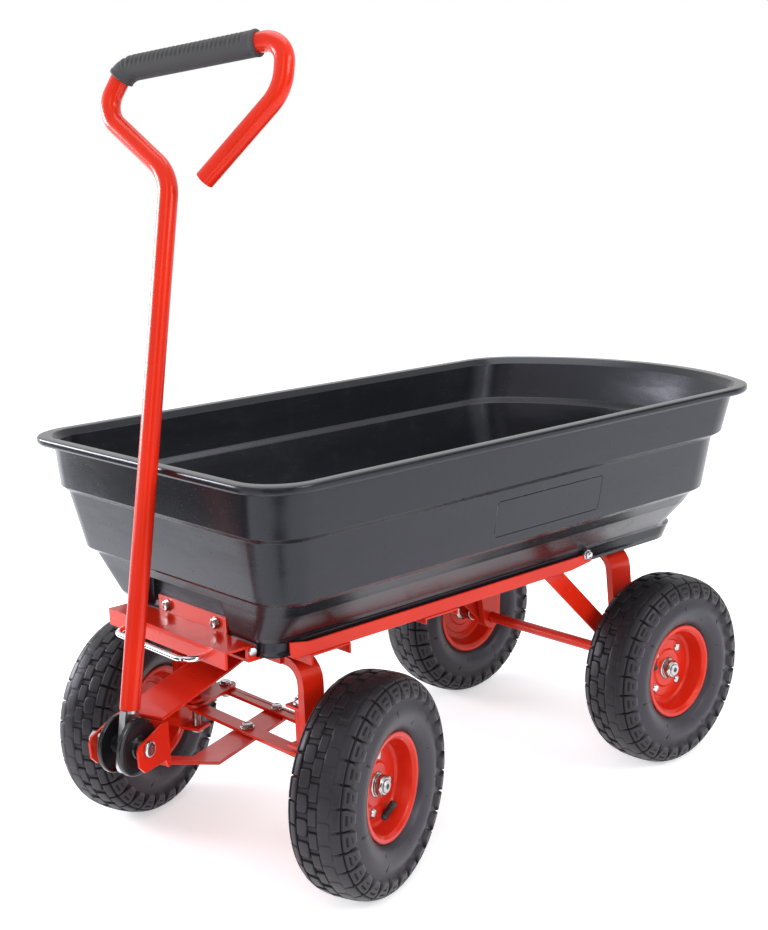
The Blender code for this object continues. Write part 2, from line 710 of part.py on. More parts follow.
def build_front_arch(parent):
    foot = LOWER_TAB_Z
    half = ARCH_WIDTH / 2
    outline = arch_outline(ARCH_OUTER_Y, ARCH_THICKNESS, ARCH_TOP_Z, foot, ARCH_CORNER_RADIUS)
    arch = plate_yz(outline, -half, half)
    inner_face = ARCH_OUTER_Y - ARCH_THICKNESS
    for side in (-1, 1):
        for low in (LOWER_TAB_Z, UPPER_TAB_Z):
            ends = sorted((side * (inner_face + 0.002), side * (KINGPIN_Y - 0.0140)))
            tab = box((-half + 0.002, ends[0], low), (half - 0.002, ends[1], low + TAB_THICKNESS))
            fuse(arch, tab)
        between_tabs = (0, side * KINGPIN_Y, (LOWER_TAB_Z + UPPER_TAB_Z) / 2)
        drill(arch, between_tabs, "Z", KINGPIN_RADIUS + PIN_CLEARANCE, 0.040)
    drill(arch, (0, 0, ARCH_TOP_Z), "Z", KINGPIN_RADIUS + PIN_CLEARANCE, 0.030)
    return place(arch, "front_arch", "red_paint", parent)


def build_front_beam(parent):
    outline = [(y, x) for x, y in stadium(-KINGPIN_Y, KINGPIN_Y, 0, BEAM_WIDTH / 2)]
    beam = plate_xy(outline, BEAM_BOTTOM_Z, BEAM_TOP_Z)
    for y in (-KINGPIN_Y, 0, KINGPIN_Y):
        drill(beam, (0, y, BEAM_TOP_Z), "Z", KINGPIN_RADIUS + PIN_CLEARANCE, 0.010)
    return place(beam, "front_beam", "red_paint", parent)


def build_kingpin(side, name, parent):
    """A bolt from under the knuckle's foot up through both tabs, with its spacer sleeve."""
    foot = KNUCKLE_FOOT_TOP_Z - KNUCKLE_PLATE - GAP
    sleeve_low = LOWER_TAB_Z + TAB_THICKNESS + GAP
    sleeve_high = UPPER_TAB_Z - GAP
    nut = UPPER_TAB_Z + TAB_THICKNESS + GAP
    radius = KINGPIN_RADIUS
    sections = [
        (foot - HEAD_HEIGHT, 0.0085, "hex"), (foot, 0.0085, "hex"), (foot, radius, "round"),
        (sleeve_low, radius, "round"), (sleeve_low, 0.0085, "round"), (sleeve_high, 0.0085, "round"),
        (sleeve_high, radius, "round"), (nut, radius, "round"), (nut, 0.0100, "round"),
        (nut + 0.0015, 0.0100, "round"), (nut + 0.0015, 0.0085, "hex"), (nut + 0.0075, 0.0085, "hex"),
        (nut + 0.0075, radius, "round"), (nut + 0.0105, radius * 0.9, "round"),
    ]
    return place(turned(sections, "Z", (0, side * KINGPIN_Y, 0)), name, "zinc", parent)


def build_knuckle(side, name, parent):
    """A C of bent plate round the beam's end, with the stub axle and the steering arm."""
    low = KNUCKLE_FOOT_TOP_Z - KNUCKLE_PLATE
    radius = KNUCKLE_CORNER_RADIUS
    inner_end = -KNUCKLE_WIDTH / 2
    path = [Vector((inner_end, ARM_TOP_Z)), Vector((KNUCKLE_WEB_Y, ARM_TOP_Z)),
            Vector((KNUCKLE_WEB_Y, low)), Vector((inner_end, low))]
    outer = rounded(path, [radius, radius], 3)
    inner = offset_run(outer, -KNUCKLE_PLATE)
    outline = [(side * p.x, p.y) for p in outer] + [(side * p.x, p.y) for p in inner[::-1]]
    body = plate_yz(outline, -KNUCKLE_WIDTH / 2, KNUCKLE_WIDTH / 2)
    fuse(body, plate_xy(stadium(0, STEERING_ARM, 0, STEERING_ARM_WIDTH / 2), ARM_BOTTOM_Z, ARM_TOP_Z))
    start = KNUCKLE_WEB_Y - 0.002
    collar_to = WHEEL_OFFSET - HUB_INNER_REACH - GAP
    end = WHEEL_OFFSET + AXLE_END_REACH
    sections = [
        (start, AXLE_COLLAR_RADIUS, "round"), (collar_to, AXLE_COLLAR_RADIUS, "round"),
        (collar_to, AXLE_RADIUS, "round"), (end - 0.001, AXLE_RADIUS, "round"),
        (end, AXLE_RADIUS - 0.001, "round"),
    ]
    sections = [(side * place_y, size, kind) for place_y, size, kind in sections]
    fuse(body, turned(sections, "Y", (0, 0, AXLE_Z), ROUND_SIDES // 2))
    drill(body, (0, 0, ARM_TOP_Z), "Z", KINGPIN_RADIUS + PIN_CLEARANCE, 0.060)
    drill(body, (STEERING_ARM, 0, ARM_TOP_Z), "Z", PIN_RADIUS + 2 * PIN_CLEARANCE, 0.010)
    return place(body, name, "red_paint", parent)


def build_tie_rod(parent):
    outline = [(y, x) for x, y in stadium(-KINGPIN_Y, KINGPIN_Y, 0, TIE_ROD_WIDTH / 2)]
    rod = plate_xy(outline, BEAM_BOTTOM_Z, BEAM_TOP_Z)
    for y in (-KINGPIN_Y, 0, KINGPIN_Y):
        drill(rod, (0, y, BEAM_TOP_Z), "Z", PIN_RADIUS + PIN_CLEARANCE, 0.010)
    place(rod, "tie_rod", "red_paint", parent)
    for side, word in ((-1, "left"), (1, "right")):
        item = bolt("Z", (0, side * KINGPIN_Y, 0), ARM_TOP_Z + GAP, BEAM_BOTTOM_Z - GAP - NUT_HEIGHT - 0.002,
                    PIN_RADIUS, 0.0070, False, BEAM_BOTTOM_Z - GAP)
        place(item, "tie_rod_bolt_" + word, "zinc", parent)


# Yoke: everything that swings with the handle about the steering axis

def build_drawbar(parent):
    top = DRAWBAR_TOP_Z
    end_s = HITCH_PLATE_S - HITCH_THICKNESS - GAP - DRAWBAR_THICKNESS * 0.4
    run = [(DRAWBAR_REAR, top), (-DRAWBAR_BEND, top - 0.0010), (-end_s, HITCH_BOTTOM_Z + 0.0020)]
    half = DRAWBAR_WIDTH / 2
    bar = bent_sheet(run, DRAWBAR_THICKNESS, -half, half)
    drill(bar, (0, 0, top), "Z", KINGPIN_RADIUS + PIN_CLEARANCE, 0.012)
    drill(bar, (STEERING_ARM, 0, top), "Z", PIN_RADIUS + PIN_CLEARANCE, 0.012)
    place(bar, "drawbar", "red_paint", parent)
    item = bolt("Z", (STEERING_ARM, 0, 0), BEAM_TOP_Z + GAP, top - DRAWBAR_THICKNESS - NUT_HEIGHT - 0.003,
                PIN_RADIUS, 0.0070, False, top - DRAWBAR_THICKNESS - 2 * GAP)
    place(item, "drawbar_bolt", "zinc", parent)


def build_neck(parent):
    run = [
        (NECK_REAR, NECK_TOP_Z),
        (-NECK_REAR, NECK_TOP_Z),
        (-NECK_BEND, NECK_TOP_Z - NECK_BEND_DROP),
        (-HITCH_PLATE_S, HITCH_TOP_Z + 3 * GAP + DRAWBAR_THICKNESS),
    ]
    half = NECK_WIDTH / 2
    neck = bent_sheet(run, DRAWBAR_THICKNESS, -half, half)
    drill(neck, (0, 0, NECK_TOP_Z), "Z", KINGPIN_RADIUS + PIN_CLEARANCE, 0.012)
    return place(neck, "neck_plate", "red_paint", parent)


def build_hitch(parent):
    """A bent U of plate: a back and two five-sided ears."""
    back = -(HITCH_PLATE_S - HITCH_THICKNESS)
    front = -(HITCH_PLATE_S + HITCH_EAR_REACH)
    half = HITCH_HALF_WIDTH
    inner = half - HITCH_EAR_THICKNESS
    outline = [
        (back, -half), (back, half), (front, half), (front, inner),
        (-HITCH_PLATE_S, inner), (-HITCH_PLATE_S, -inner), (front, -inner), (front, -half),
    ]
    channel = plate_xy(outline, HITCH_BOTTOM_Z, HITCH_TOP_Z)
    side = [
        (back + 0.01, HITCH_BOTTOM_Z - 0.01), (back + 0.01, HITCH_TOP_Z + 0.01), (back, HITCH_TOP_Z + 0.01),
        (-HITCH_PLATE_S - 0.006, HITCH_TOP_Z), (front + 0.004, HITCH_TOP_Z - 0.010),
        (front, HITCH_TOP_Z - 0.016), (front + 0.001, HITCH_BOTTOM_Z + 0.018),
        (front + 0.010, HITCH_BOTTOM_Z + 0.009), (-HITCH_PLATE_S - 0.004, HITCH_BOTTOM_Z + 0.009),
        (-HITCH_PLATE_S - 0.001, HITCH_BOTTOM_Z), (back, HITCH_BOTTOM_Z - 0.01),
    ]
    combine(channel, plate_xz(side, -half - 0.01, half + 0.01), "INTERSECT")
    drill(channel, (-HANDLE_PIVOT_S, 0, HANDLE_PIVOT_Z), "Y", HANDLE_BOLT_RADIUS + PIN_CLEARANCE, half + 0.01)
    return place(channel, "hitch_bracket", "red_paint", parent)


def build_handle_bolt(parent):
    half = HITCH_HALF_WIDTH
    inner = half - HITCH_EAR_THICKNESS
    radius = HANDLE_BOLT_RADIUS
    centre = HANDLE_OFFSET
    reach = TONGUE_THICKNESS / 2 + GAP + HANDLE_DISC_DEPTH + HANDLE_DISC_WALL
    near = centre - reach
    far = centre + reach
    sections = [
        (-half - 0.0050, 0.0060, "round"), (-half - 0.0035, 0.0088, "round"), (-half - GAP, 0.0088, "round"),
        (-half - GAP, radius, "round"), (-inner + GAP, radius, "round"), (-inner + GAP, 0.0090, "round"),
        (near - GAP, 0.0090, "round"), (near - GAP, radius, "round"), (far + GAP, radius, "round"),
        (far + GAP, 0.0090, "round"), (inner - GAP, 0.0090, "round"), (inner - GAP, radius, "round"),
        (half + GAP, radius, "round"), (half + GAP, 0.0088, "hex"), (half + 0.0068, 0.0088, "hex"),
        (half + 0.0068, radius, "round"), (half + 0.0090, radius * 0.9, "round"),
    ]
    item = turned(sections, "Y", (-HANDLE_PIVOT_S, 0, HANDLE_PIVOT_Z))
    return place(item, "handle_bolt", "zinc", parent)


def build_steer_bolts(parent):
    item = bolt("Z", (0, 0, 0), BEAM_TOP_Z + GAP, DRAWBAR_TOP_Z - DRAWBAR_THICKNESS - NUT_HEIGHT - 0.004,
                KINGPIN_RADIUS, 0.0080, False, DRAWBAR_TOP_Z - DRAWBAR_THICKNESS - 2 * GAP)
    place(item, "steering_bolt_lower", "zinc", parent)
    neck_under = NECK_TOP_Z - DRAWBAR_THICKNESS - GAP
    item = bolt("Z", (0, 0, 0), ARCH_TOP_Z + GAP, neck_under - NUT_HEIGHT - 0.003,
                KINGPIN_RADIUS, 0.0080, False, neck_under)
    place(item, "steering_bolt_upper", "zinc", parent)


# Handle

def handle_path():
    """Centre line of the tube: a straight shaft, a sideways neck and an open loop at the top."""
    neck = HANDLE_NECK_HEIGHT
    corners = [
        (HANDLE_OFFSET, HANDLE_TUBE_START),
        (HANDLE_OFFSET, neck),
        (LOOP_SHOULDER_REACH, neck + LOOP_SHOULDER_RISE),
        (LOOP_GRIP_REACH, neck + LOOP_GRIP_RISE),
        (-LOOP_FAR_REACH, neck + LOOP_FAR_RISE),
        (-LOOP_FAR_REACH, neck + LOOP_KNEE_RISE),
        (-LOOP_END_REACH, neck - LOOP_END_DROP),
    ]
    radii = [LOOP_WIDE_BEND, LOOP_TIGHT_BEND, LOOP_TIGHT_BEND, LOOP_TIGHT_BEND, LOOP_WIDE_BEND]
    run = rounded([Vector(corner) for corner in corners], radii, 5)
    return [Vector((0, point.x, point.y)) for point in run]


def stretch_of(path, start, length):
    """The part of a path between two distances along it, with the path's own points."""
    points = []
    travelled = 0.0
    for before, after in zip(path, path[1:]):
        step = (after - before).length
        low = max(start, travelled)
        high = min(start + length, travelled + step)
        if high > low:
            if not points:
                points.append(before.lerp(after, (low - travelled) / step))
            points.append(before.lerp(after, (high - travelled) / step))
        travelled += step
    return points


def build_handle(parent):
    path = handle_path()
    start = path[0]
    end = path[-1]
    up = (path[1] - path[0]).normalized()
    tail = (path[-1] - path[-2]).normalized()
    socket = start + up * HANDLE_SOCKET_DEPTH
    mouth = end - tail * HANDLE_SOCKET_DEPTH
    tube = path[:]
    rings = []
    sides = FASTENER_SIDES
    body = tube_rings(tube, [HANDLE_TUBE_RADIUS] * len(tube), sides)
    low = tube_rings([start, start + up], [HANDLE_TUBE_BORE] * 2, sides)[0]
    high = tube_rings([end - tail, end], [HANDLE_TUBE_BORE] * 2, sides)[1]
    rings.append([point + (socket - start) for point in low])
    rings.append(low)
    rings.extend(body)
    rings.append(high)
    rings.append([point + (mouth - end) for point in high])
    place(rings_body(rings), "handle_tube", "red_paint", parent, smooth=50)

    cover = stretch_of(path, GRIP_START, GRIP_LENGTH)
    outer = tube_rings(cover, [GRIP_RADIUS] * len(cover), sides)
    inner = tube_rings(cover, [HANDLE_TUBE_RADIUS + GAP + 0.0002] * len(cover), sides)
    place(rings_body(outer + inner[::-1], closed=True), "handle_grip", "grip_foam", parent, smooth=50)

    half = TONGUE_THICKNESS / 2
    wide = TONGUE_WIDTH / 2
    shoulder = HANDLE_TUBE_START - 2 * GAP
    tongue = arc((0, -TONGUE_REACH + wide), wide, math.pi, 2 * math.pi, 8)
    tongue += [(wide, shoulder), (-wide, shoulder)]
    blade = plate_xz(tongue, HANDLE_OFFSET - half, HANDLE_OFFSET + half)
    plug_radius = HANDLE_TUBE_BORE - 2 * GAP
    plug = turned([(shoulder - 0.003, plug_radius, "round"),
                   (HANDLE_TUBE_START + HANDLE_SOCKET_DEPTH - 0.002, plug_radius, "round")],
                  "Z", (0, HANDLE_OFFSET, 0))
    fuse(blade, plug)
    drill(blade, (0, HANDLE_OFFSET, 0), "Y", HANDLE_BOLT_RADIUS + PIN_CLEARANCE, 0.02)
    place(blade, "handle_tongue", "zinc", parent)

    bore = (HANDLE_BOLT_RADIUS + PIN_CLEARANCE) / math.cos(math.pi / ROUND_SIDES)
    rim = HANDLE_DISC_RADIUS
    wall = HANDLE_DISC_WALL
    deep = HANDLE_DISC_DEPTH
    boss = HANDLE_DISC_BOSS
    profile = [
        (0.0, bore), (0.0, boss), (deep, boss + 0.0005), (deep, rim - wall - 0.001), (0.0015, rim - wall),
        (0.0015, rim), (deep + wall - 0.0015, rim), (deep + wall, rim - 0.0015), (deep + wall, bore),
    ]
    for side, word in ((-1, "left"), (1, "right")):
        face = HANDLE_OFFSET + side * (half + GAP)
        sections = [(face + side * depth, radius, "round") for depth, radius in profile]
        item = turned(sections, "Y", (0, 0, 0), ROUND_SIDES, closed=True)
        place(item, "handle_disc_" + word, "black_plastic", parent)


# Latch

def build_latch(frame, slide):
    half = LATCH_SHELF_HALF_WIDTH
    sheet = LATCH_SHEET
    shelf_top = LATCH_SHELF_Z + sheet
    ear_from = LATCH_EAR_X - LATCH_EAR_WIDTH / 2
    ear_to = LATCH_EAR_X + LATCH_EAR_WIDTH / 2
    pin_z = shelf_top - LATCH_PIN_DROP
    strap_low = RAIL_BOTTOM_Z
    back = -ARCH_WIDTH / 2 - GAP
    bracket = box((ear_from, -half - GAP - sheet, strap_low), (back, half + GAP + sheet, strap_low + sheet))
    fuse(bracket, box((back - sheet, -0.100, ARCH_SOFFIT_Z + 0.001), (back, 0.100, strap_low + sheet * 0.5)))
    ear = [
        (ear_to + 0.006, strap_low), (ear_to, strap_low + sheet), (ear_to, shelf_top), (ear_from, shelf_top),
        (ear_from, strap_low),
    ]
    for side in (-1, 1):
        fuse(bracket, plate_xz(ear, side * (half + GAP), side * (half + GAP + sheet)))
        drill(bracket, (LATCH_EAR_X, side * half, pin_z), "Y",
              PIN_RADIUS * 0.75 + PIN_CLEARANCE, 0.012)
    place(bracket, "latch_bracket", "red_paint", frame)

    front = LATCH_SHELF_FRONT_X
    shelf_back = STRIKER_FRONT_X - GAP
    plan = [
        (front, -half), (shelf_back, -half), (shelf_back, half), (front, half),
    ]
    housing = plate_xy(plan, LATCH_SHELF_Z, shelf_top)
    fuse(housing, box((front - sheet, -half, shelf_top - LATCH_LIP_DEPTH), (front + 0.0001, half, shelf_top)))
    for side in (-1, 1):
        ends = sorted((side * half, side * (half - sheet)))
        fuse(housing, box((ear_from + 0.0005, ends[0], strap_low + sheet + GAP),
                          (ear_to - 0.0005, ends[1], LATCH_SHELF_Z + sheet * 0.5)))
        drill(housing, (LATCH_EAR_X, side * half, pin_z), "Y",
              PIN_RADIUS * 0.75 + PIN_CLEARANCE, 0.012)
        drill(housing, (front, side * LATCH_ROD_HALF_WIDTH, LATCH_ROD_Z), "X",
              LATCH_ROD_RADIUS + PIN_CLEARANCE, 0.012)
    place(housing, "latch_housing", "red_paint", frame)

    for side, word in ((-1, "left"), (1, "right")):
        origin = (LATCH_EAR_X, 0, pin_z)
        head = half + GAP + sheet + GAP
        tip = half - sheet - 0.0030
        sections = [
            (head + 0.0030, 0.0040, "round"), (head + 0.0022, 0.0055, "round"), (head, 0.0055, "round"),
            (head, PIN_RADIUS * 0.75, "round"), (tip, PIN_RADIUS * 0.75, "round"),
        ]
        sections = [(side * y, radius, kind) for y, radius, kind in sections]
        place(turned(sections, "Y", origin), "latch_bolt_" + word, "zinc", frame)

    bar_front = front + 0.0065
    bar_back = bar_front + 0.0100
    tip_x = STRIKER_BACK_X - GAP - 0.0004
    wide = LATCH_ROD_HALF_WIDTH + 0.008
    nose = LATCH_BOLT_HALF_WIDTH
    plan = [(bar_front, -wide), (bar_back, -wide), (bar_back, -nose), (tip_x, -nose + 0.001),
            (tip_x, nose - 0.001), (bar_back, nose), (bar_back, wide), (bar_front, wide)]
    plate = plate_xy(plan, LATCH_BOLT_Z, LATCH_BOLT_Z + LATCH_BOLT_THICKNESS)
    place(plate, "latch_bolt_plate", "zinc", slide)

    reach = front - LATCH_ROD_REACH
    start = bar_back
    corners = [Vector((start, -LATCH_ROD_HALF_WIDTH)), Vector((reach, -LATCH_ROD_HALF_WIDTH)),
               Vector((reach, LATCH_ROD_HALF_WIDTH)), Vector((start, LATCH_ROD_HALF_WIDTH))]
    run = rounded(corners, [0.018, 0.018], 5)
    rings = []
    for i, point in enumerate(run):
        before = run[max(i - 1, 0)]
        after = run[min(i + 1, len(run) - 1)]
        direction = (after - before).normalized()
        other = Vector((-direction.y, direction.x))
        ring = []
        for u, v in circle(LATCH_ROD_RADIUS, 10):
            ring.append((point.x + other.x * u, point.y + other.y * u, LATCH_ROD_Z + v))
        rings.append(ring)
    place(rings_body(rings), "release_rod", "chrome", slide, smooth=50)


# Rear

def build_strut(side, name, parent):
    """A flat bar from under the rail down to an eye on the rear axle."""
    top = Vector((STRUT_TOP_X, RAIL_BOTTOM_Z - GAP))
    eye = Vector((WHEELBASE, AXLE_Z))
    direction = (eye - top).normalized()
    normal = Vector((-direction.y, direction.x)) * (STRUT_WIDTH / 2)
    slope = STRUT_WIDTH / 2 / abs(direction.y)
    angle = math.atan2(normal.y, normal.x)
    spread = math.asin(min(STRUT_WIDTH / 2 / STRUT_EYE_RADIUS, 1.0))
    heading = math.atan2(direction.y, direction.x)
    round_end = arc(eye, STRUT_EYE_RADIUS, heading + math.pi - spread, heading - math.pi + spread, 14)
    outline = [(top.x - slope, top.y), (top.x + slope, top.y)] + round_end
    if angle < 0:
        outline = [(top.x + slope, top.y), (top.x - slope, top.y)] + round_end
    bar = plate_xz(outline, side * STRUT_OUTER_Y, side * (STRUT_OUTER_Y - STRUT_THICKNESS))
    drill(bar, (WHEELBASE, side * STRUT_OUTER_Y, AXLE_Z), "Y", AXLE_RADIUS + PIN_CLEARANCE, 0.02, ROUND_SIDES)
    return place(bar, name, "red_paint", parent)


def build_rear_arch(parent, offset):
    """The tub's tilt arch: it is bolted under the tub and turns on the rear axle."""
    half = REAR_ARCH_WIDTH / 2
    foot = AXLE_Z - REAR_ARCH_EYE_RADIUS
    top = TUB_BASE_Z - GAP
    outline = arch_outline(ARCH_OUTER_Y, ARCH_THICKNESS, top, foot, ARCH_CORNER_RADIUS)
    arch = plate_yz(outline, WHEELBASE - half, WHEELBASE + half)
    side_view = arc((WHEELBASE, AXLE_Z), REAR_ARCH_EYE_RADIUS, math.pi, 2 * math.pi, 8)
    side_view += [(WHEELBASE + half, AXLE_Z + 0.030), (WHEELBASE + half, top + 0.01),
                  (WHEELBASE - half, top + 0.01), (WHEELBASE - half, AXLE_Z + 0.030)]
    combine(arch, plate_xz(side_view, -ARCH_OUTER_Y - 0.01, ARCH_OUTER_Y + 0.01), "INTERSECT")
    web = ARCH_THICKNESS - 0.0035
    hollow = [
        (WHEELBASE - half + 0.0035, AXLE_Z + 0.034), (WHEELBASE + half - 0.0035, AXLE_Z + 0.034),
        (WHEELBASE + half - 0.0035, top - ARCH_CORNER_RADIUS),
        (WHEELBASE - half + 0.0035, top - ARCH_CORNER_RADIUS),
    ]
    for side in (-1, 1):
        inner_face = ARCH_OUTER_Y - ARCH_THICKNESS
        cut(arch, plate_xz(hollow, side * (inner_face - 0.005), side * (inner_face + web)))
        eye = (WHEELBASE, side * ARCH_OUTER_Y, AXLE_Z)
        drill(arch, eye, "Y", AXLE_RADIUS + PIN_CLEARANCE, 0.03, ROUND_SIDES)
    for vertex in arch.data.vertices:
        rise = vertex.co.z - AXLE_Z - REAR_ARCH_EYE_RADIUS
        if rise > 0:
            vertex.co.x -= REAR_ARCH_LEAN * rise * (
                TUB_BASE_ABOVE_AXLE / (TUB_BASE_ABOVE_AXLE - REAR_ARCH_EYE_RADIUS))
    for side in (-1, 1):
        drill(arch, arch_bolt_centre(side), "Z", PIN_RADIUS + PIN_CLEARANCE, 0.020)
    return place(arch, "rear_arch", "red_paint", parent, offset)


def build_rear_axle(parent):
    radius = AXLE_RADIUS
    collar_from = STRUT_OUTER_Y + GAP
    collar_to = TRACK / 2 - HUB_INNER_REACH - GAP
    end = TRACK / 2 + AXLE_END_REACH
    half = [
        (collar_from, radius), (collar_from, AXLE_COLLAR_RADIUS), (collar_to, AXLE_COLLAR_RADIUS),
        (collar_to, radius), (end - 0.001, radius), (end, radius - 0.001),
    ]
    sections = [(-y, size, "round") for y, size in half[::-1]] + [(y, size, "round") for y, size in half]
    axle = turned(sections, "Y", (WHEELBASE, 0, AXLE_Z), ROUND_SIDES // 2)
    return place(axle, "rear_axle", "red_paint", parent)


# Wheels, drawn with the axle along Y and the outer face towards +Y

def tyre_mesh():
    """A carcass with two rows of staggered shoulder lugs and a ribbed crown."""
    radius = TYRE_DIAMETER / 2
    half = TYRE_WIDTH / 2
    seat = RIM_SEAT_RADIUS + GAP
    bead = RIM_HALF_WIDTH - RIM_SHEET - GAP * 2
    flange = RIM_FLANGE_RADIUS + GAP * 2
    base = radius - LUG_HEIGHT
    columns = LUGS_AROUND * 4
    side_rows = [(bead, seat, 0), (bead, flange, 0), (half * 0.97, radius * 0.70, 0)]
    tread_rows = [(half * 0.93, radius * 0.870, LUG_HEIGHT * 0.4),
                  (half * 0.76, base - TREAD_DROP, LUG_HEIGHT),
                  (half * 0.26, base, LUG_HEIGHT)]
    rows = [(-w, r, lug, 0) for w, r, lug in side_rows + tread_rows]
    rows += [(0.0, radius, 0, 0)]
    rows += [(w, r, lug, 1) for w, r, lug in (side_rows + tread_rows)[::-1]]
    rings = []
    for i in range(columns):
        pitch, phase = divmod(i, 4)
        share = (pitch + (0.0, 0.08, 0.50, 0.58)[phase]) / LUGS_AROUND
        angle = -math.pi / 2 + 2 * math.pi * (share - 0.08 / LUGS_AROUND)
        ring = []
        for w, r, lug, row_side in rows:
            raised = phase in (1, 2) if row_side == 0 else phase in (3, 0)
            reach = r + (lug if raised else 0.0)
            ring.append((reach * math.cos(angle), w, reach * math.sin(angle)))
        rings.append(ring)
    body = rings_body(rings, closed=True)
    return body


def rim_mesh():
    """Two pressed halves as one turned body: bead seats, flanges, a web and the hub seat."""
    half = RIM_HALF_WIDTH
    sheet = RIM_SHEET
    flange = RIM_FLANGE_RADIUS
    seat = RIM_SEAT_RADIUS
    web = RIM_WEB_OUT
    bore = HUB_RADIUS + GAP
    side = [
        (half - sheet, seat), (half - sheet, flange), (half, flange), (half - 0.003, seat - 0.004),
        (web, seat - 0.012), (web, HUB_FLANGE_RADIUS + 0.006), (web + 0.003, HUB_FLANGE_RADIUS + 0.001),
        (web + 0.003, bore),
    ]
    profile = side + [(-w, r) for w, r in side[::-1]]
    sections = [(w, r / math.cos(math.pi / ROUND_SIDES) if r == bore else r, "round") for w, r in profile]
    return turned(sections, "Y", (0, 0, 0), ROUND_SIDES, closed=True)


def hub_mesh():
    """The hub sleeve with its bearing lips."""
    bore = (AXLE_RADIUS + PIN_CLEARANCE) / math.cos(math.pi / (ROUND_SIDES // 2))
    outer = HUB_RADIUS
    face = RIM_WEB_OUT + 0.003 + GAP
    profile = [
        (HUB_OUTER_REACH, bore), (HUB_OUTER_REACH, outer + 0.0010), (HUB_OUTER_REACH - 0.0009, outer + 0.0016),
        (face, outer + 0.0016), (face, outer - 0.0002), (-face, outer - 0.0002), (-face, outer + 0.004),
        (-face - 0.003, outer + 0.004), (-face - 0.005, outer), (-HUB_INNER_REACH, outer),
        (-HUB_INNER_REACH, bore),
    ]
    return turned([(w, r, "round") for w, r in profile], "Y", (0, 0, 0), ROUND_SIDES // 2, closed=True)


def axle_nut_mesh():
    bore = (AXLE_RADIUS + PIN_CLEARANCE) / math.cos(math.pi / FASTENER_SIDES)
    face = HUB_OUTER_REACH + GAP
    sections = [
        (face, bore, "round"), (face, AXLE_WASHER_RADIUS, "round"),
        (face + 0.0016, AXLE_WASHER_RADIUS, "round"),
        (face + 0.0016, AXLE_NUT_RADIUS, "hex"), (face + 0.0080, AXLE_NUT_RADIUS, "hex"),
        (face + 0.0092, AXLE_NUT_RADIUS * 0.88, "hex"), (face + 0.0092, bore, "round"),
    ]
    return turned(sections, "Y", (0, 0, 0), FASTENER_SIDES, closed=True)


def build_wheels(axles):
    """One set of meshes, shared by the four wheels; a left wheel is the right one turned round."""
    makers = (
        ("tyre", tyre_mesh, "tyre_rubber", 40),
        ("rim", rim_mesh, "red_paint", 30),
        ("hub", hub_mesh, "zinc", 30),
        ("axle_nut", axle_nut_mesh, "zinc", 30),
    )
    for word, maker, finish, smooth in makers:
        first = None
        for name, (parent, side) in axles.items():
            turn = (0, 0, 0 if side > 0 else math.pi)
            if first is None:
                first = place(maker(), word + "_" + name, finish, parent, (0, 0, 0), turn, smooth)
            else:
                copy_of(first, word + "_" + name, parent, (0, 0, 0), turn)


def build_cart():
    clear_scene()
    cart = empty("cart_frame", (FRONT_AXLE_X, 0, 0))
    tip_axis = empty("tip_axis", (WHEELBASE, 0, AXLE_Z), cart)
    steer_axis = empty("steer_axis", (0, 0, 0), cart, (0, 0, STEER_TURN))
    tie_axis = empty("tie_rod_axis", (STEERING_ARM, 0, 0), steer_axis, (0, 0, -STEER_TURN))
    handle_axis = empty("handle_axis", (-HANDLE_PIVOT_S, 0, HANDLE_PIVOT_Z), steer_axis, (0, HANDLE_LEAN, 0))
    latch_slide = empty("latch_slide", (0, 0, 0), cart)
    tip_offset = (-WHEELBASE, 0, -AXLE_Z)

    axles = {}
    for side, word in ((-1, "left"), (1, "right")):
        kingpin_axis = empty("kingpin_axis_" + word, (0, side * KINGPIN_Y, 0), cart, (0, 0, STEER_TURN))
        build_knuckle(side, "knuckle_" + word, kingpin_axis)
        build_kingpin(side, "kingpin_" + word, cart)
        build_rail(side, "rail_" + word, cart)
        build_strut(side, "strut_" + word, cart)
        spin = empty("wheel_axis_front_" + word, (0, side * WHEEL_OFFSET, AXLE_Z), kingpin_axis)
        axles["front_" + word] = (spin, side)
    for side, word in ((-1, "left"), (1, "right")):
        spin = empty("wheel_axis_rear_" + word, (WHEELBASE, side * TRACK / 2, AXLE_Z), cart)
        axles["rear_" + word] = (spin, side)

    build_cross_member("cross_member_front", CROSS_FRONT_X, CROSS_FRONT_LENGTH,
                       CROSS_TOP_Z - ARCH_TOP_Z - GAP, cart)
    build_cross_member("cross_member_rear", CROSS_REAR_X, CROSS_REAR_LENGTH, CROSS_MEMBER_DEPTH, cart)
    build_front_arch(cart)
    build_front_beam(cart)
    build_rear_axle(cart)
    build_steer_bolts(cart)
    build_latch(cart, latch_slide)
    build_tub(tip_axis, tip_offset)
    build_rear_arch(tip_axis, tip_offset)
    build_drawbar(steer_axis)
    build_neck(steer_axis)
    build_hitch(steer_axis)
    build_handle_bolt(steer_axis)
    build_tie_rod(tie_axis)
    build_handle(handle_axis)
    build_wheels(axles)


build_cart()
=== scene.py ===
"""Looks of the four-wheel garden cart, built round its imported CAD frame.

Metres, +Z up, the handle at -X, standing on z = 0. Shapes are drawn with x measured rearwards
from the front axle and then moved into the frame, at rest.
"""

import json

import bpy
import numpy as np
from mathutils import Matrix, Vector


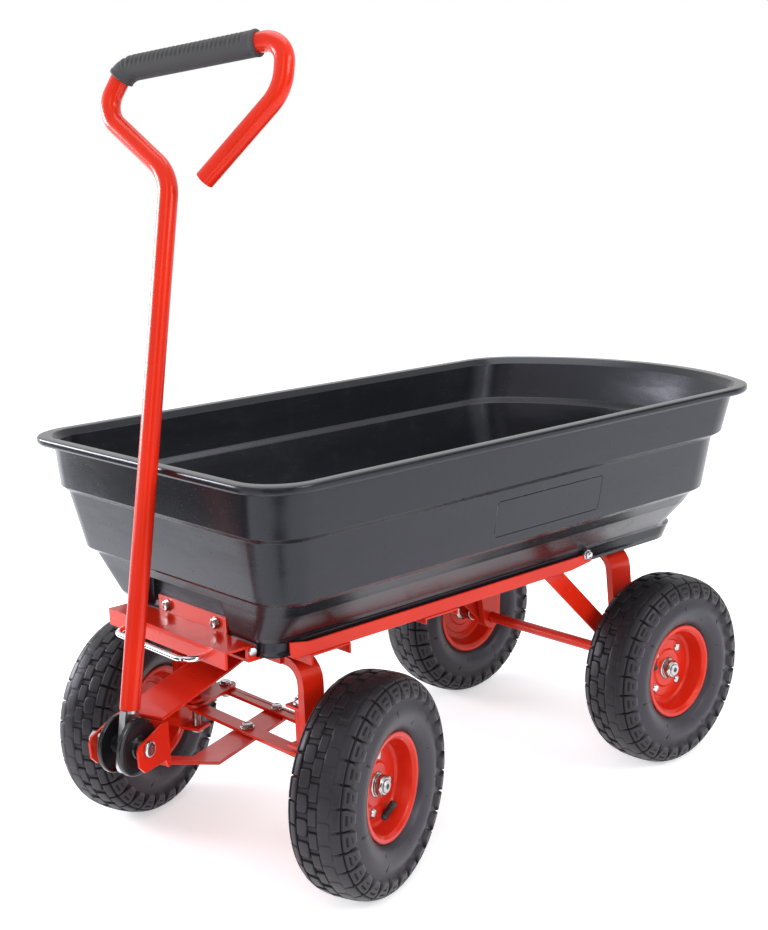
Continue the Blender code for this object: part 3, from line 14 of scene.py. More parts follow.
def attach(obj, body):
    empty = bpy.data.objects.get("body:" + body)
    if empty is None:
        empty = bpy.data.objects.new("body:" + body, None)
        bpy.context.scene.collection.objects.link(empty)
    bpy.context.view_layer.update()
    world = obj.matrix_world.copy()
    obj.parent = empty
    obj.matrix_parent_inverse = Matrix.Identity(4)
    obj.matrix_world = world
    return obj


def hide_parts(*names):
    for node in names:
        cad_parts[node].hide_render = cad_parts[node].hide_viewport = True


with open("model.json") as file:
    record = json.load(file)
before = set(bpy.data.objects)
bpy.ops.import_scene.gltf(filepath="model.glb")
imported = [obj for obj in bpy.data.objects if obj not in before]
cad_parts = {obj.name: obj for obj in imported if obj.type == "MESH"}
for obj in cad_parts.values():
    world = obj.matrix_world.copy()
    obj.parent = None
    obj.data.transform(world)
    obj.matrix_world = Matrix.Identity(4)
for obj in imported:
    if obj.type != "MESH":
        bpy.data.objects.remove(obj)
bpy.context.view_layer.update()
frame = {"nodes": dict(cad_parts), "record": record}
nodes = frame["nodes"]
PI = np.pi

# Layout, shared by the pieces
FRONT_AXLE_X = -0.2620
WHEELBASE = 0.5600
TRACK = 0.4000
KINGPIN_Y = 0.1120
AXLE_Z = 0.1300
STEER_TURN = np.radians(20.0)

# Tub, with every inset measured in from the lip's edge
TUB_LENGTH = 0.9190
TUB_WIDTH = 0.5130
TUB_OVERHANG = 0.1380
TUB_BASE_Z = 0.2910
TUB_HEIGHT = 0.2200
TUB_WALL = 0.0040
BASE_INSET = 0.1085
BASE_FRONT_INSET = 0.0720
BASE_REAR_INSET = 0.0980
LIP_WIDTH = 0.0160
LIP_DEPTH = 0.0085
LIP_REAR_EXTRA = 0.0040
UPPER_STEP = 0.1585
LOWER_STEP = 0.0805
STEP_RISE = 0.0065
FOOT = 0.0195
POCKET_HALF_WIDTH = 0.0860
POCKET_HEIGHT = 0.0620
BOW_RADIUS = 0.3900
REAR_CORNER = 0.0850
FRONT_CORNER = 0.0600
FRONT_CORNER_LOSS = 0.0360
TUB_MIDDLE_X = 0.2800
PANEL_X = 0.0530
PANEL_HALF_LENGTH = 0.0895
PANEL_Z = 0.40725
PANEL_HALF_HEIGHT = 0.0175

# Wheels, with the tread's rows placed from the crown line
TYRE_RADIUS = 0.1300
PITCHES = 30
CROWN_HALF = 0.0052
MIDDLE_PLACE = 0.01365
MIDDLE_HALF = 0.0069
SHOULDER_PLACE = 0.0275
SHOULDER_HALF = 0.0053
LUG_PLACE = 0.0450
LUG_HALF = 0.0104
INNER_SLIT = 0.0405
OUTER_SLIT = 0.0466
VENT_PLACE = 0.0700
SMALL_VENT_PLACE = 0.0830
RING_PLACE = 0.0905
WEB_FACE = 0.0068
RIVET_CIRCLE = 0.0335

# Fasteners, and the radius at which a turned shape closes
THREAD_PITCH = 0.00125
CLOSED = 0.00002

# Handle and latch rod
HANDLE_PIVOT_S = 0.2340
HANDLE_PIVOT_Z = 0.2220
HANDLE_LEAN = np.radians(13.6)
HANDLE_OFFSET = -0.0055
TUBE_RADIUS = 0.0110
TUBE_BORE = 0.0092
GRIP_RADIUS = 0.0150
GRIP_SKIN = 0.0016
GRIP_START = 0.7270
GRIP_LENGTH = 0.1840
ROD_RADIUS = 0.0036
ROD_Z = 0.2912


# Shader graphs

class Value:
    """A shader value: arithmetic on it adds the matching node."""

    def __init__(self, graph, output):
        self.graph = graph
        self.output = output

    def __add__(self, other):
        return self.graph.maths("ADD", self, other)

    def __sub__(self, other):
        return self.graph.maths("SUBTRACT", self, other)

    def __rsub__(self, other):
        return self.graph.maths("SUBTRACT", other, self)

    def __mul__(self, other):
        return self.graph.maths("MULTIPLY", self, other)

    def __truediv__(self, other):
        return self.graph.maths("DIVIDE", self, other)

    def __rtruediv__(self, other):
        return self.graph.maths("DIVIDE", other, self)

    def __pow__(self, other):
        return self.graph.maths("POWER", self, other)

    def __neg__(self):
        return self * -1.0

    def __abs__(self):
        return self.graph.maths("ABSOLUTE", self)

    __radd__ = __add__
    __rmul__ = __mul__


class Graph:
    """The nodes of one material or world."""

    def __init__(self, tree):
        self.tree = tree
        tree.nodes.clear()

    def node(self, kind, settings=None, sockets=None, output=0):
        """Any node, by its type, its settings and what goes into its sockets."""
        item = self.tree.nodes.new("ShaderNode" + kind)
        for key, value in (settings or {}).items():
            setattr(item, key, value)
        for key, value in (sockets or {}).items():
            if isinstance(value, Value):
                self.tree.links.new(value.output, item.inputs[key])
            else:
                item.inputs[key].default_value = value
        return Value(self, item.outputs[output]) if item.outputs else None

    def maths(self, operation, *values):
        """One Math node."""
        return self.node("Math", {"operation": operation}, dict(enumerate(values)))

    def mix(self, factor, first, second):
        """The first colour where the factor is 0, the second where it is 1."""
        return self.node("Mix", {"data_type": "RGBA"}, {0: factor, 6: first, 7: second}, 2)

    def step(self, value, low, high):
        """0 below low, 1 above high, smooth between them."""
        sockets = {"Value": value, "From Min": low, "From Max": high}
        return self.node("MapRange", {"interpolation_type": "SMOOTHSTEP"}, sockets)

    def place(self):
        """Object coordinates."""
        return self.node("TexCoord", output=3)

    def axes(self, vector):
        """The three parts of a vector."""
        item = self.node("SeparateXYZ", sockets={0: vector}).output.node
        return [Value(self, output) for output in item.outputs]

    def stretched(self, vector, x, y, z):
        """The vector with each part multiplied by its own number."""
        return self.node("VectorMath", {"operation": "MULTIPLY"}, {0: vector, 1: (x, y, z)})

    def noise(self, vector, scale, detail=2.0, roughness=0.5):
        """Fractal noise from 0 to 1."""
        sockets = {"Vector": vector, "Scale": scale, "Detail": detail, "Roughness": roughness}
        return self.node("TexNoise", sockets=sockets)

    def cells(self, vector, scale):
        """Distance to the nearest of scattered points."""
        return self.node("TexVoronoi", sockets={"Vector": vector, "Scale": scale})

    def attribute(self, name):
        """A number stored at the piece's vertices."""
        return self.node("Attribute", {"attribute_name": name}, output=2)

    def bump(self, height, distance, strength, normal=None):
        """A normal that leans with the height, on top of another one."""
        sockets = {"Height": height, "Distance": distance, "Strength": strength}
        if normal is not None:
            sockets["Normal"] = normal
        return self.node("Bump", sockets=sockets)


def colour(red, green, blue):
    """An opaque colour in linear light."""
    return (red, green, blue, 1.0)


def material_from(name, surface):
    """A material whose shader is surface(graph)."""
    material = bpy.data.materials.new(name)
    material.use_nodes = True
    graph = Graph(material.node_tree)
    graph.node("OutputMaterial", sockets={"Surface": surface(graph)})
    return material


def finish(paint):
    """A material named after its paint, whose Principled sockets are paint(graph)."""
    return material_from(paint.__name__, lambda graph: graph.node("BsdfPrincipled", sockets=paint(graph)))


def red_powder_coat(g):
    """Orange-red gloss: fine orange peel, cloudy gloss and slightly deeper colour in places."""
    p = g.place()
    cloud = g.step(g.noise(p, 7.0, 3.0), 0.30, 0.70)
    flow = g.noise(p, 46.0, 2.0)
    peel = g.noise(p, 520.0, 1.0)
    speck = g.step(g.noise(p, 1700.0, 1.0), 0.70, 0.80)
    base = g.mix(cloud, colour(0.560, 0.016, 0.004), colour(0.470, 0.011, 0.003))
    base = g.mix(speck * 0.20, base, colour(0.78, 0.08, 0.05))
    return {
        "Base Color": base,
        "Roughness": 0.22 + 0.12 * flow + 0.05 * cloud,
        "Specular Tint": colour(1.0, 0.30, 0.20),
        "Coat Weight": 0.24,
        "Coat Roughness": 0.06,
        "Normal": g.bump(peel * 0.6 + flow * 0.6, 0.00016, 0.55),
    }


def tub_plastic(g):
    """Moulded black poly: fine grain, a faint flow of the melt, and the bare panel's shallow edge."""
    p = g.place()
    x, y, z = g.axes(p)
    grain = g.noise(p, 900.0, 2.0)
    flow = g.noise(g.stretched(p, 1.0, 1.0, 3.0), 5.0, 3.0)
    scuff = g.step(g.noise(g.stretched(p, 14.0, 60.0, 160.0), 3.0, 4.0), 0.63, 0.70)
    dust = g.step(g.noise(p, 30.0, 5.0, 0.6), 0.52, 0.75)
    base = g.mix(flow, colour(0.0062, 0.0064, 0.0078), colour(0.0092, 0.0097, 0.0118))
    base = g.mix(dust * 0.06, base, colour(0.040, 0.040, 0.044))
    gap_x = g.maths("MAXIMUM", abs(x - PANEL_X) - PANEL_HALF_LENGTH, 0.0)
    gap_z = g.maths("MAXIMUM", abs(z - PANEL_Z) - PANEL_HALF_HEIGHT, 0.0)
    away = g.maths("SQRT", gap_x * gap_x + gap_z * gap_z)
    inside = (1.0 - g.step(away, 0.0042, 0.0058)) * g.step(-y, 0.18, 0.19)
    normal = g.bump(flow, 0.0035, 0.35)
    normal = g.bump(inside, -0.0012, 0.9, normal)
    return {
        "Base Color": base,
        "Roughness": 0.19 + 0.10 * flow + 0.05 * scuff + 0.04 * dust,
        "Specular IOR Level": 0.41,
        "Specular Tint": colour(0.86, 0.86, 1.0),
        "Normal": g.bump(grain, 0.00012, 0.35, normal),
    }


def tyre_rubber(g):
    """Black rubber: painted shade darkening the grooves, block edges and vents, greyer sidewalls with fine
    mould lines, a little dust.
    """
    p = g.place()
    relief = g.attribute("relief")
    across = g.attribute("across")
    grain = g.noise(p, 650.0, 3.0, 0.6)
    cloud = g.noise(p, 16.0, 4.0, 0.6)
    side = g.step(abs(across), 0.050, 0.054)
    lines = g.maths("SINE", across * 5200.0) * side
    base = g.mix(cloud, colour(0.0085, 0.0078, 0.0092), colour(0.0165, 0.0155, 0.0178))
    base = g.mix(side * 0.75, base, colour(0.0330, 0.0315, 0.0375))
    # painted shade: the grooves, the lines along the block edges and the vents are darkened towards black
    base = g.mix(relief * 0.95, base, colour(0.0008, 0.0008, 0.0009))
    base = g.mix(g.step(g.noise(p, 90.0, 4.0), 0.55, 0.75) * 0.14, base, colour(0.040, 0.039, 0.038))
    normal = g.bump(lines, 0.00006, 0.35)
    return {
        "Base Color": base,
        "Roughness": 0.35 - 0.09 * side + 0.15 * cloud + 0.55 * relief,
        "Specular IOR Level": 0.36,
        "Specular Tint": colour(0.95, 0.90, 1.0),
        "Normal": g.bump(grain, 0.00025, 0.45, normal),
    }


def grip_foam(g):
    """Dark grey moulded grip: closed pores over a soft dull skin, and painted shade darkening the valleys
    between its ribs.
    """
    p = g.place()
    pores = g.cells(p, 1300.0)
    cloud = g.noise(p, 60.0, 3.0)
    base = g.mix(cloud, colour(0.0272, 0.0272, 0.0299), colour(0.0422, 0.0422, 0.0462))
    # painted shade: the valleys between the ribs are darkened
    base = g.mix(g.attribute("relief") * 0.6, base, colour(0.0109, 0.0109, 0.0122))
    return {
        "Base Color": base,
        "Roughness": 0.60 + 0.20 * cloud,
        "Normal": g.bump(pores + 0.6 * g.noise(p, 420.0, 2.0), 0.00016, 0.6),
    }


def black_gloss(g):
    """Polished black moulding with faint flow marks."""
    p = g.place()
    flow = g.noise(p, 40.0, 3.0)
    return {
        "Base Color": g.mix(flow, colour(0.006, 0.006, 0.007), colour(0.014, 0.014, 0.016)),
        "Roughness": 0.12 + 0.12 * flow,
        "Normal": g.bump(g.noise(p, 500.0, 1.0), 0.00008, 0.3),
    }


def black_rubber(g):
    """The dull rubber of valves and seals."""
    p = g.place()
    cloud = g.noise(p, 120.0, 3.0)
    return {
        "Base Color": g.mix(cloud, colour(0.010, 0.010, 0.011), colour(0.022, 0.022, 0.024)),
        "Roughness": 0.42 + 0.20 * cloud,
        "Normal": g.bump(g.noise(p, 900.0, 2.0), 0.00010, 0.4),
    }


def zinc_plate(g):
    """Bright zinc: a cloudy blue-white film over fine machining."""
    p = g.place()
    cloud = g.noise(p, 70.0, 3.0)
    fine = g.noise(p, 1500.0, 2.0)
    base = g.mix(g.step(cloud, 0.35, 0.65), colour(0.62, 0.62, 0.64), colour(0.45, 0.445, 0.42))
    return {
        "Base Color": base,
        "Metallic": 1.0,
        "Roughness": 0.13 + 0.16 * cloud,
        "Normal": g.bump(fine, 0.00008, 0.3),
    }


def chrome_plate(g):
    """Bright plating with a trace of the drawn rod below."""
    p = g.place()
    drawn = g.noise(g.stretched(p, 1.0, 0.1, 1.0), 900.0, 2.0)
    cloud = g.noise(p, 50.0, 2.0)
    return {
        "Base Color": g.mix(cloud, colour(0.88, 0.88, 0.88), colour(0.78, 0.79, 0.80)),
        "Metallic": 1.0,
        "Roughness": 0.05 + 0.06 * cloud,
        "Normal": g.bump(drawn, 0.00005, 0.3),
    }


def brushed_steel(g):
    """Bare steel with fine vertical brushing."""
    p = g.place()
    brush = g.noise(g.stretched(p, 1.0, 1.0, 0.03), 1600.0, 3.0)
    return {
        "Base Color": g.mix(brush, colour(0.42, 0.42, 0.43), colour(0.56, 0.56, 0.57)),
        "Metallic": 1.0,
        "Roughness": 0.26 + 0.16 * brush,
        "Normal": g.bump(brush, 0.00008, 0.4),
    }


FINISHES = {
    "red_paint": finish(red_powder_coat),
    "tub_plastic": finish(tub_plastic),
    "tyre_rubber": finish(tyre_rubber),
    "grip_foam": finish(grip_foam),
    "black_plastic": finish(black_gloss),
    "black_rubber": finish(black_rubber),
    "zinc_plate": finish(zinc_plate),
    "chrome_rod": finish(chrome_plate),
    "steel": finish(brushed_steel),
}


# Surfaces

def turned(angle, axis):
    """A turn about one of the main axes."""
    return np.array(Matrix.Rotation(angle, 4, axis))


def shift(x, y, z):
    """A move without a turn."""
    return np.array(Matrix.Translation((x, y, z)))


CART = shift(FRONT_AXLE_X, 0, 0)
YOKE = CART @ turned(STEER_TURN, "Z")
HANDLE = YOKE @ shift(-HANDLE_PIVOT_S, 0, HANDLE_PIVOT_Z) @ turned(HANDLE_LEAN, "Y")


def facing(side):
    """Turns +Y to the right side, or to the left one."""
    return turned(0.0 if side > 0 else PI, "Z")


def wheel_frame(end, side):
    """The wheel's own axes at rest: the axle along Y, the outer face towards +Y."""
    outward = facing(side)
    if end == "rear":
        return CART @ shift(WHEELBASE, side * TRACK / 2, AXLE_Z) @ outward
    kingpin = CART @ shift(0, side * KINGPIN_Y, 0) @ turned(STEER_TURN, "Z")
    return kingpin @ shift(0, side * (TRACK / 2 - KINGPIN_Y), AXLE_Z) @ outward


def moved(points, matrix):
    """Points of any array shape, turned and shifted by a matrix."""
    return points @ matrix[:3, :3].T + matrix[:3, 3]


def add_object(name, data):
    """A new object with that data, in the scene."""
    item = bpy.data.objects.new(name, data)
    bpy.context.scene.collection.objects.link(item)
    return item


def patch(grid, flip=False, **attributes):
    """Points and quads of a (rows, columns, 3) array, closed round its columns.

    Four neighbours of the array make a quad. The attributes are numbers, one for each point.
    """
    rows, columns = grid.shape[:2]
    index = np.arange(rows * columns).reshape(rows, columns)
    index = np.concatenate([index, index[:, :1]], 1)
    quads = np.stack([index[:-1, :-1], index[:-1, 1:], index[1:, 1:], index[1:, :-1]], -1).reshape(-1, 4)
    if flip:
        quads = quads[:, ::-1]
    extra = {key: np.broadcast_to(values, (rows, columns)).ravel() for key, values in attributes.items()}
    return grid.reshape(-1, 3), quads, extra


def piece(name, parts, look, body, stands_for=(), matrix=None):
    """One object from several patches, at the origin, riding on its body."""
    starts = np.cumsum([0] + [len(points) for points, _, _ in parts])[:-1]
    points = np.concatenate([points for points, _, _ in parts])
    quads = np.concatenate([quads + start for (_, quads, _), start in zip(parts, starts)])
    if matrix is not None:
        points = moved(points, matrix)
    mesh = bpy.data.meshes.new(name)
    mesh.vertices.add(len(points))
    mesh.vertices.foreach_set("co", points.astype(np.float32).ravel())
    mesh.loops.add(quads.size)
    mesh.loops.foreach_set("vertex_index", quads.astype(np.int32).ravel())
    mesh.polygons.add(len(quads))
    mesh.polygons.foreach_set("loop_start", np.arange(0, quads.size, 4, dtype=np.int32))
    mesh.polygons.foreach_set("use_smooth", np.ones(len(quads), bool))
    mesh.update(calc_edges=True)
    for key in parts[0][2]:
        values = np.concatenate([extra[key] for _, _, extra in parts])
        mesh.attributes.new(key, "FLOAT", "POINT").data.foreach_set("value", values.astype(np.float32))
    mesh.materials.append(FINISHES[look])
    item = add_object(name, mesh)
    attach(item, body)
    if stands_for:
        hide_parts(*stands_for)


def smooth(value, low, high):
    """0 below low, 1 above high, a cubic ease between them."""
    share = np.clip((value - low) / (high - low), 0, 1)
    return share * share * (3 - 2 * share)


def filleted(knots, radius, steps=6):
    """A path whose inner knots become arcs of that radius, in any number of dimensions.

    Each arc is the rational quadratic through two points, one before and one after the knot,
    weighted with the sine of half the angle at the knot.
    """
    knots = np.asarray(knots, float)
    ahead = knots[1:] - knots[:-1]
    length = np.linalg.norm(ahead, axis=1)
    unit = ahead / length[:, None]
    half = np.arccos(np.clip(-(unit[:-1] * unit[1:]).sum(1), -1, 1)) / 2
    room = np.minimum(length[:-1], length[1:]) * 0.48
    reach = np.minimum(np.broadcast_to(radius, len(half)) / np.tan(half), room)
    first = knots[1:-1] - unit[:-1] * reach[:, None]
    last = knots[1:-1] + unit[1:] * reach[:, None]
    share = np.linspace(0, 1, steps)[None, :, None]
    weight = np.sin(half)[:, None, None] * 2 * share * (1 - share)
    top = first[:, None] * (1 - share) ** 2 + knots[1:-1, None] * weight + last[:, None] * share ** 2
    curve = top / ((1 - share) ** 2 + weight + share ** 2)
    return np.concatenate([knots[:1], curve.reshape(-1, knots.shape[1]), knots[-1:]])


def distance_along(path):
    """The distance travelled at each point of a path: the running sum of its steps."""
    return np.concatenate([[0], np.cumsum(np.linalg.norm(np.diff(path, axis=0), axis=1))])


def sampled(path, places):
    """Points of a path at those distances along it."""
    travelled = distance_along(path)
    return np.stack([np.interp(places, travelled, column) for column in path.T], -1)


def tangents(path):
    """Unit vectors along a path, from the difference of each point's neighbours."""
    along = np.gradient(path, axis=0)
    return along / np.linalg.norm(along, axis=1)[:, None]


def spokes(tangent, plane_normal, around):
    """Unit vectors square to each tangent: a cosine share of one side, a sine share of the other."""
    angle = np.linspace(0, 2 * PI, around, endpoint=False)
    side = np.cross(tangent, plane_normal)
    other = np.asarray(plane_normal, float)
    return np.cos(angle)[None, :, None] * side[:, None] + np.sin(angle)[None, :, None] * other


def swept(path, plane_normal, radius, around=32):
    """A tube round a flat path: each ring is the point plus radius times a turning unit vector."""
    radius = (radius + np.zeros((len(path), 1)))[:, :, None]
    return path[:, None] + spokes(tangents(path), plane_normal, around) * radius


def rings_at(point, toward, plane_normal, rows, around):
    """Rings square to the line from a point to the next one: each row is (shift along it, radius)."""
    tangent = (toward - point) / np.linalg.norm(toward - point)
    rows = np.asarray(rows, float)
    spoke = spokes(tangent[None], plane_normal, around)
    return point + tangent * rows[:, :1, None] + spoke * rows[:, 1:, None]


def lathe(profile, around=96):
    """A profile of (place along Y, radius) turned round the Y axis."""
    angle = np.linspace(0, 2 * PI, around, endpoint=False)
    profile = np.asarray(profile, float)
    ring = np.stack([np.sin(angle), np.zeros(around), np.cos(angle)], -1)
    grid = profile[:, None, 1:] * ring[None]
    grid[..., 1] += profile[:, :1]
    return grid


def hex_lathe(profile, around=72):
    """As lathe, with a share of hexagon: each row is (place, radius, share).

    At share 1 the corners keep the radius, and elsewhere it is multiplied by the cosine of 30 degrees
    over the cosine of the angle from the nearest flat's middle.
    """
    angle = np.linspace(0, 2 * PI, around, endpoint=False)
    profile = np.asarray(profile, float)
    off = (angle + PI / 6) % (PI / 3) - PI / 6
    shrink = np.cos(PI / 6) / np.cos(off)
    reach = profile[:, 1:2] * (1 + profile[:, 2:3] * (shrink[None] - 1))
    grid = np.stack([np.sin(angle) * reach, np.zeros_like(reach), np.cos(angle) * reach], -1)
    grid[..., 1] += profile[:, :1]
    return grid


# Tub

def tub_rings():
    """Rows of (height, side inset, front inset, rear inset, pocket share), from floor to floor.

    Up the outer wall with its foot and two steps, over the rolled lip and down the inner wall.
    """
    side = BASE_INSET
    front = BASE_FRONT_INSET
    rear = BASE_REAR_INSET
    wall = TUB_WALL
    pocket = POCKET_HEIGHT
    lip = TUB_HEIGHT - LIP_DEPTH
    outer = [
        (0.0, side, front, rear, 1), (FOOT - 0.001, side - 0.0025, front - 0.0005, rear - 0.0120, 1),
        (FOOT + 0.002, side - 0.0085, front - 0.0090, rear + 0.0060, 1),
        (FOOT + 0.0075, side - 0.0120, front - 0.0130, rear + 0.0040, 1),
        (pocket - 0.003, 0.0660, 0.0510, 0.0842, 1), (pocket + 0.001, 0.0635, 0.0496, 0.0824, 0),
        (LOWER_STEP - STEP_RISE, 0.0550, 0.0462, 0.0770, 0), (LOWER_STEP, 0.0450, 0.0378, 0.0640, 0),
        (UPPER_STEP - STEP_RISE, 0.0300, 0.0252, 0.0550, 0), (UPPER_STEP, 0.0220, 0.0185, 0.0390, 0),
        (lip, LIP_WIDTH, LIP_WIDTH, LIP_WIDTH + LIP_REAR_EXTRA, 0),
    ]
    rim = [
        (lip - 0.0006, 0.0015, 0.0015, 0.0015, 0), (lip + 0.0020, 0.0, 0.0, 0.0, 0),
        (TUB_HEIGHT, 0.0, 0.0, 0.0, 0), (TUB_HEIGHT, 0.0145, 0.0145, 0.0155, 0),
    ]
    inner = [(h + wall * 0.5, s + wall, f + wall, r + wall, k) for h, s, f, r, k in outer[:0:-1]]
    inner[0] = (lip, LIP_WIDTH + wall, LIP_WIDTH + wall, LIP_WIDTH + wall + LIP_REAR_EXTRA, 0)
    floor = [(wall, side + wall, front + wall, rear + wall, 1)]
    knots = np.array(outer + rim + inner + floor)
    radius = np.full(len(knots) - 2, 0.0014)
    under_lip = len(outer) - 2
    radius[under_lip:under_lip + 5] = (0.0030, 0.0018, 0.0016, 0.0034, 0.0050)
    rings = filleted(knots, radius, 5)
    longest = 0.012
    extra = np.flatnonzero(np.linalg.norm(np.diff(rings[:, :4], axis=0), axis=1) > longest)
    middle = (rings[extra] + rings[extra + 1]) / 2
    return np.insert(rings, extra + 1, middle, 0)


def tub_grid(rings):
    """The tub's plan at each ring: a straight front with round corners, straight sides, a bowed rear.

    The front third of the low walls steps back to a pocket behind the striker plate.
    """
    height, inset, front_inset, rear_inset, pocket = (rings[:, i:i + 1] for i in range(5))
    half = TUB_WIDTH / 2 - inset
    front = -TUB_OVERHANG + front_inset
    bow = BOW_RADIUS - inset
    bow_x = TUB_LENGTH - TUB_OVERHANG - rear_inset - bow
    corner = REAR_CORNER - inset * 0.3
    front_corner = FRONT_CORNER - FRONT_CORNER_LOSS * np.clip(inset / BASE_INSET, 0, 1)
    corner_x = bow_x + np.sqrt((bow - corner) ** 2 - (half - corner) ** 2)
    meet = np.arctan2(half - corner, corner_x - bow_x)
    past = 0.096
    near_pocket = np.array([0, 0.030, 0.060, 0.076, 0.080, 0.082, 0.084, 0.086, 0.088, 0.090, 0.092, past])
    share = np.linspace(0.25, 1, 4)
    y_front = np.concatenate([near_pocket + 0 * half, past + (half - front_corner - past) * share], 1)
    x_front = front + 0 * y_front
    back = BASE_FRONT_INSET - TUB_OVERHANG
    back = np.where(np.arange(len(rings))[:, None] > np.argmax(rings[:, 0]), back + TUB_WALL, back)
    hollow = pocket * (1 - smooth(np.abs(y_front), POCKET_HALF_WIDTH - 0.003, POCKET_HALF_WIDTH + 0.004))
    x_front = x_front + np.maximum(back - x_front, 0) * hollow
    turn = PI - np.linspace(0, 1, 22)[1:] * PI / 2
    x_corner = front + front_corner + front_corner * np.cos(turn)
    y_corner = half - front_corner + front_corner * np.sin(turn)
    start = front + front_corner
    share = np.linspace(0, 1, 26)[1:-1]
    x_side = start + (corner_x - start) * share
    y_side = half + 0 * x_side
    turn = PI / 2 + (meet - PI / 2) * np.linspace(0, 1, 24)
    x_rear = corner_x + corner * np.cos(turn)
    y_rear = half - corner + corner * np.sin(turn)
    turn = meet * (1 - np.linspace(0, 1, 34)[1:])
    x_bow = bow_x + bow * np.cos(turn)
    y_bow = bow * np.sin(turn)
    x = np.concatenate([x_front, x_corner, x_side, x_rear, x_bow], 1)
    y = np.concatenate([y_front, y_corner, y_side, y_rear, y_bow], 1)
    x = np.concatenate([x, x[:, -2:0:-1]], 1)
    y = np.concatenate([y, -y[:, -2:0:-1]], 1)
    return np.stack([x, y, TUB_BASE_Z + height + 0 * x], -1)


def build_tub():
    """The outer wall, lip and inner wall as one surface.

    Below and on the floor, copies of the last ring shrunk towards the middle close it.
    """
    grid = tub_grid(tub_rings())
    middle = np.array([TUB_MIDDLE_X, 0.0, 0.0])
    shrink = np.array([0.97, 0.6, 0.2, 0.002])[:, None, None]
    keep = np.array([0, 0, 1.0])
    under = (grid[:1] - middle) * (shrink[::-1] * (1 - keep) + keep) + middle
    floor = (grid[-1:] - middle) * (shrink * (1 - keep) + keep) + middle
    whole = np.concatenate([under, grid, floor])
    piece("tub_shell", [patch(whole)], "tub_plastic", "tub", ["tub"], CART)


# Wheels

def tyre_section():
    """The tyre's section from bead to bead as (across, radius): one half's knots and their mirror image.

    A running mean over evenly spaced points rounds it, and a shift puts the crown at the full radius.
    """
    knots = np.array([
        (0.0, TYRE_RADIUS), (0.0125, 0.1298), (0.0240, 0.1280), (0.0332, 0.1236), (0.0384, 0.1160),
        (0.0406, 0.1060), (0.0409, 0.0960), (0.0405, 0.0870), (0.0386, 0.0778), (0.0346, 0.0703),
        (0.0303, 0.0662), (0.0272, 0.0647),
    ])
    span = 51
    mirrored = np.concatenate([knots[:0:-1] * (-1, 1), knots])
    section = sampled(mirrored, np.linspace(0, distance_along(mirrored)[-1], 1201))
    for column in range(2):
        padded = np.pad(section[:, column], span // 2, mode="reflect", reflect_type="odd")
        section[:, column] = np.convolve(padded, np.ones(span) / span, "valid")
    section[:, 1] += TYRE_RADIUS - section[:, 1].max()
    return section


def groove(distance, width, edge=0.0006):
    """1 in a groove of that width, 0 outside, with sloping sides."""
    return 1 - smooth(np.abs(distance), width / 2 - edge, width / 2 + edge)


def block(along, wide, half_along, half_wide, corner):
    """How far outside a rounded rectangle a place lies, below zero inside it.

    Past both sides it is the distance from the corner's centre, less the corner's radius.
    """
    beyond_along = np.abs(along) - half_along + corner
    beyond_wide = np.abs(wide) - half_wide + corner
    away = np.hypot(np.maximum(beyond_along, 0), np.maximum(beyond_wide, 0))
    return away + np.minimum(np.maximum(beyond_along, beyond_wide), 0) - corner


def tread_rows(limit):
    """Places across the tyre, close together where the block rows have their edges."""
    edges = np.array([0.0052, 0.0068, 0.0205, 0.0222, 0.0328, 0.0346, 0.0405, 0.0466])
    fine = (edges[:, None] + np.array([-0.0007, 0.0, 0.0007])).ravel()
    coarse = np.arange(0.0, 0.0560, 0.0019)
    half = np.concatenate([fine, coarse, np.linspace(0.0565, limit, 15)])
    rows = np.unique(np.round(np.concatenate([half, -half]), 5))
    return np.clip(rows[np.concatenate([[True], np.diff(rows) > 0.00055])], -limit, limit)


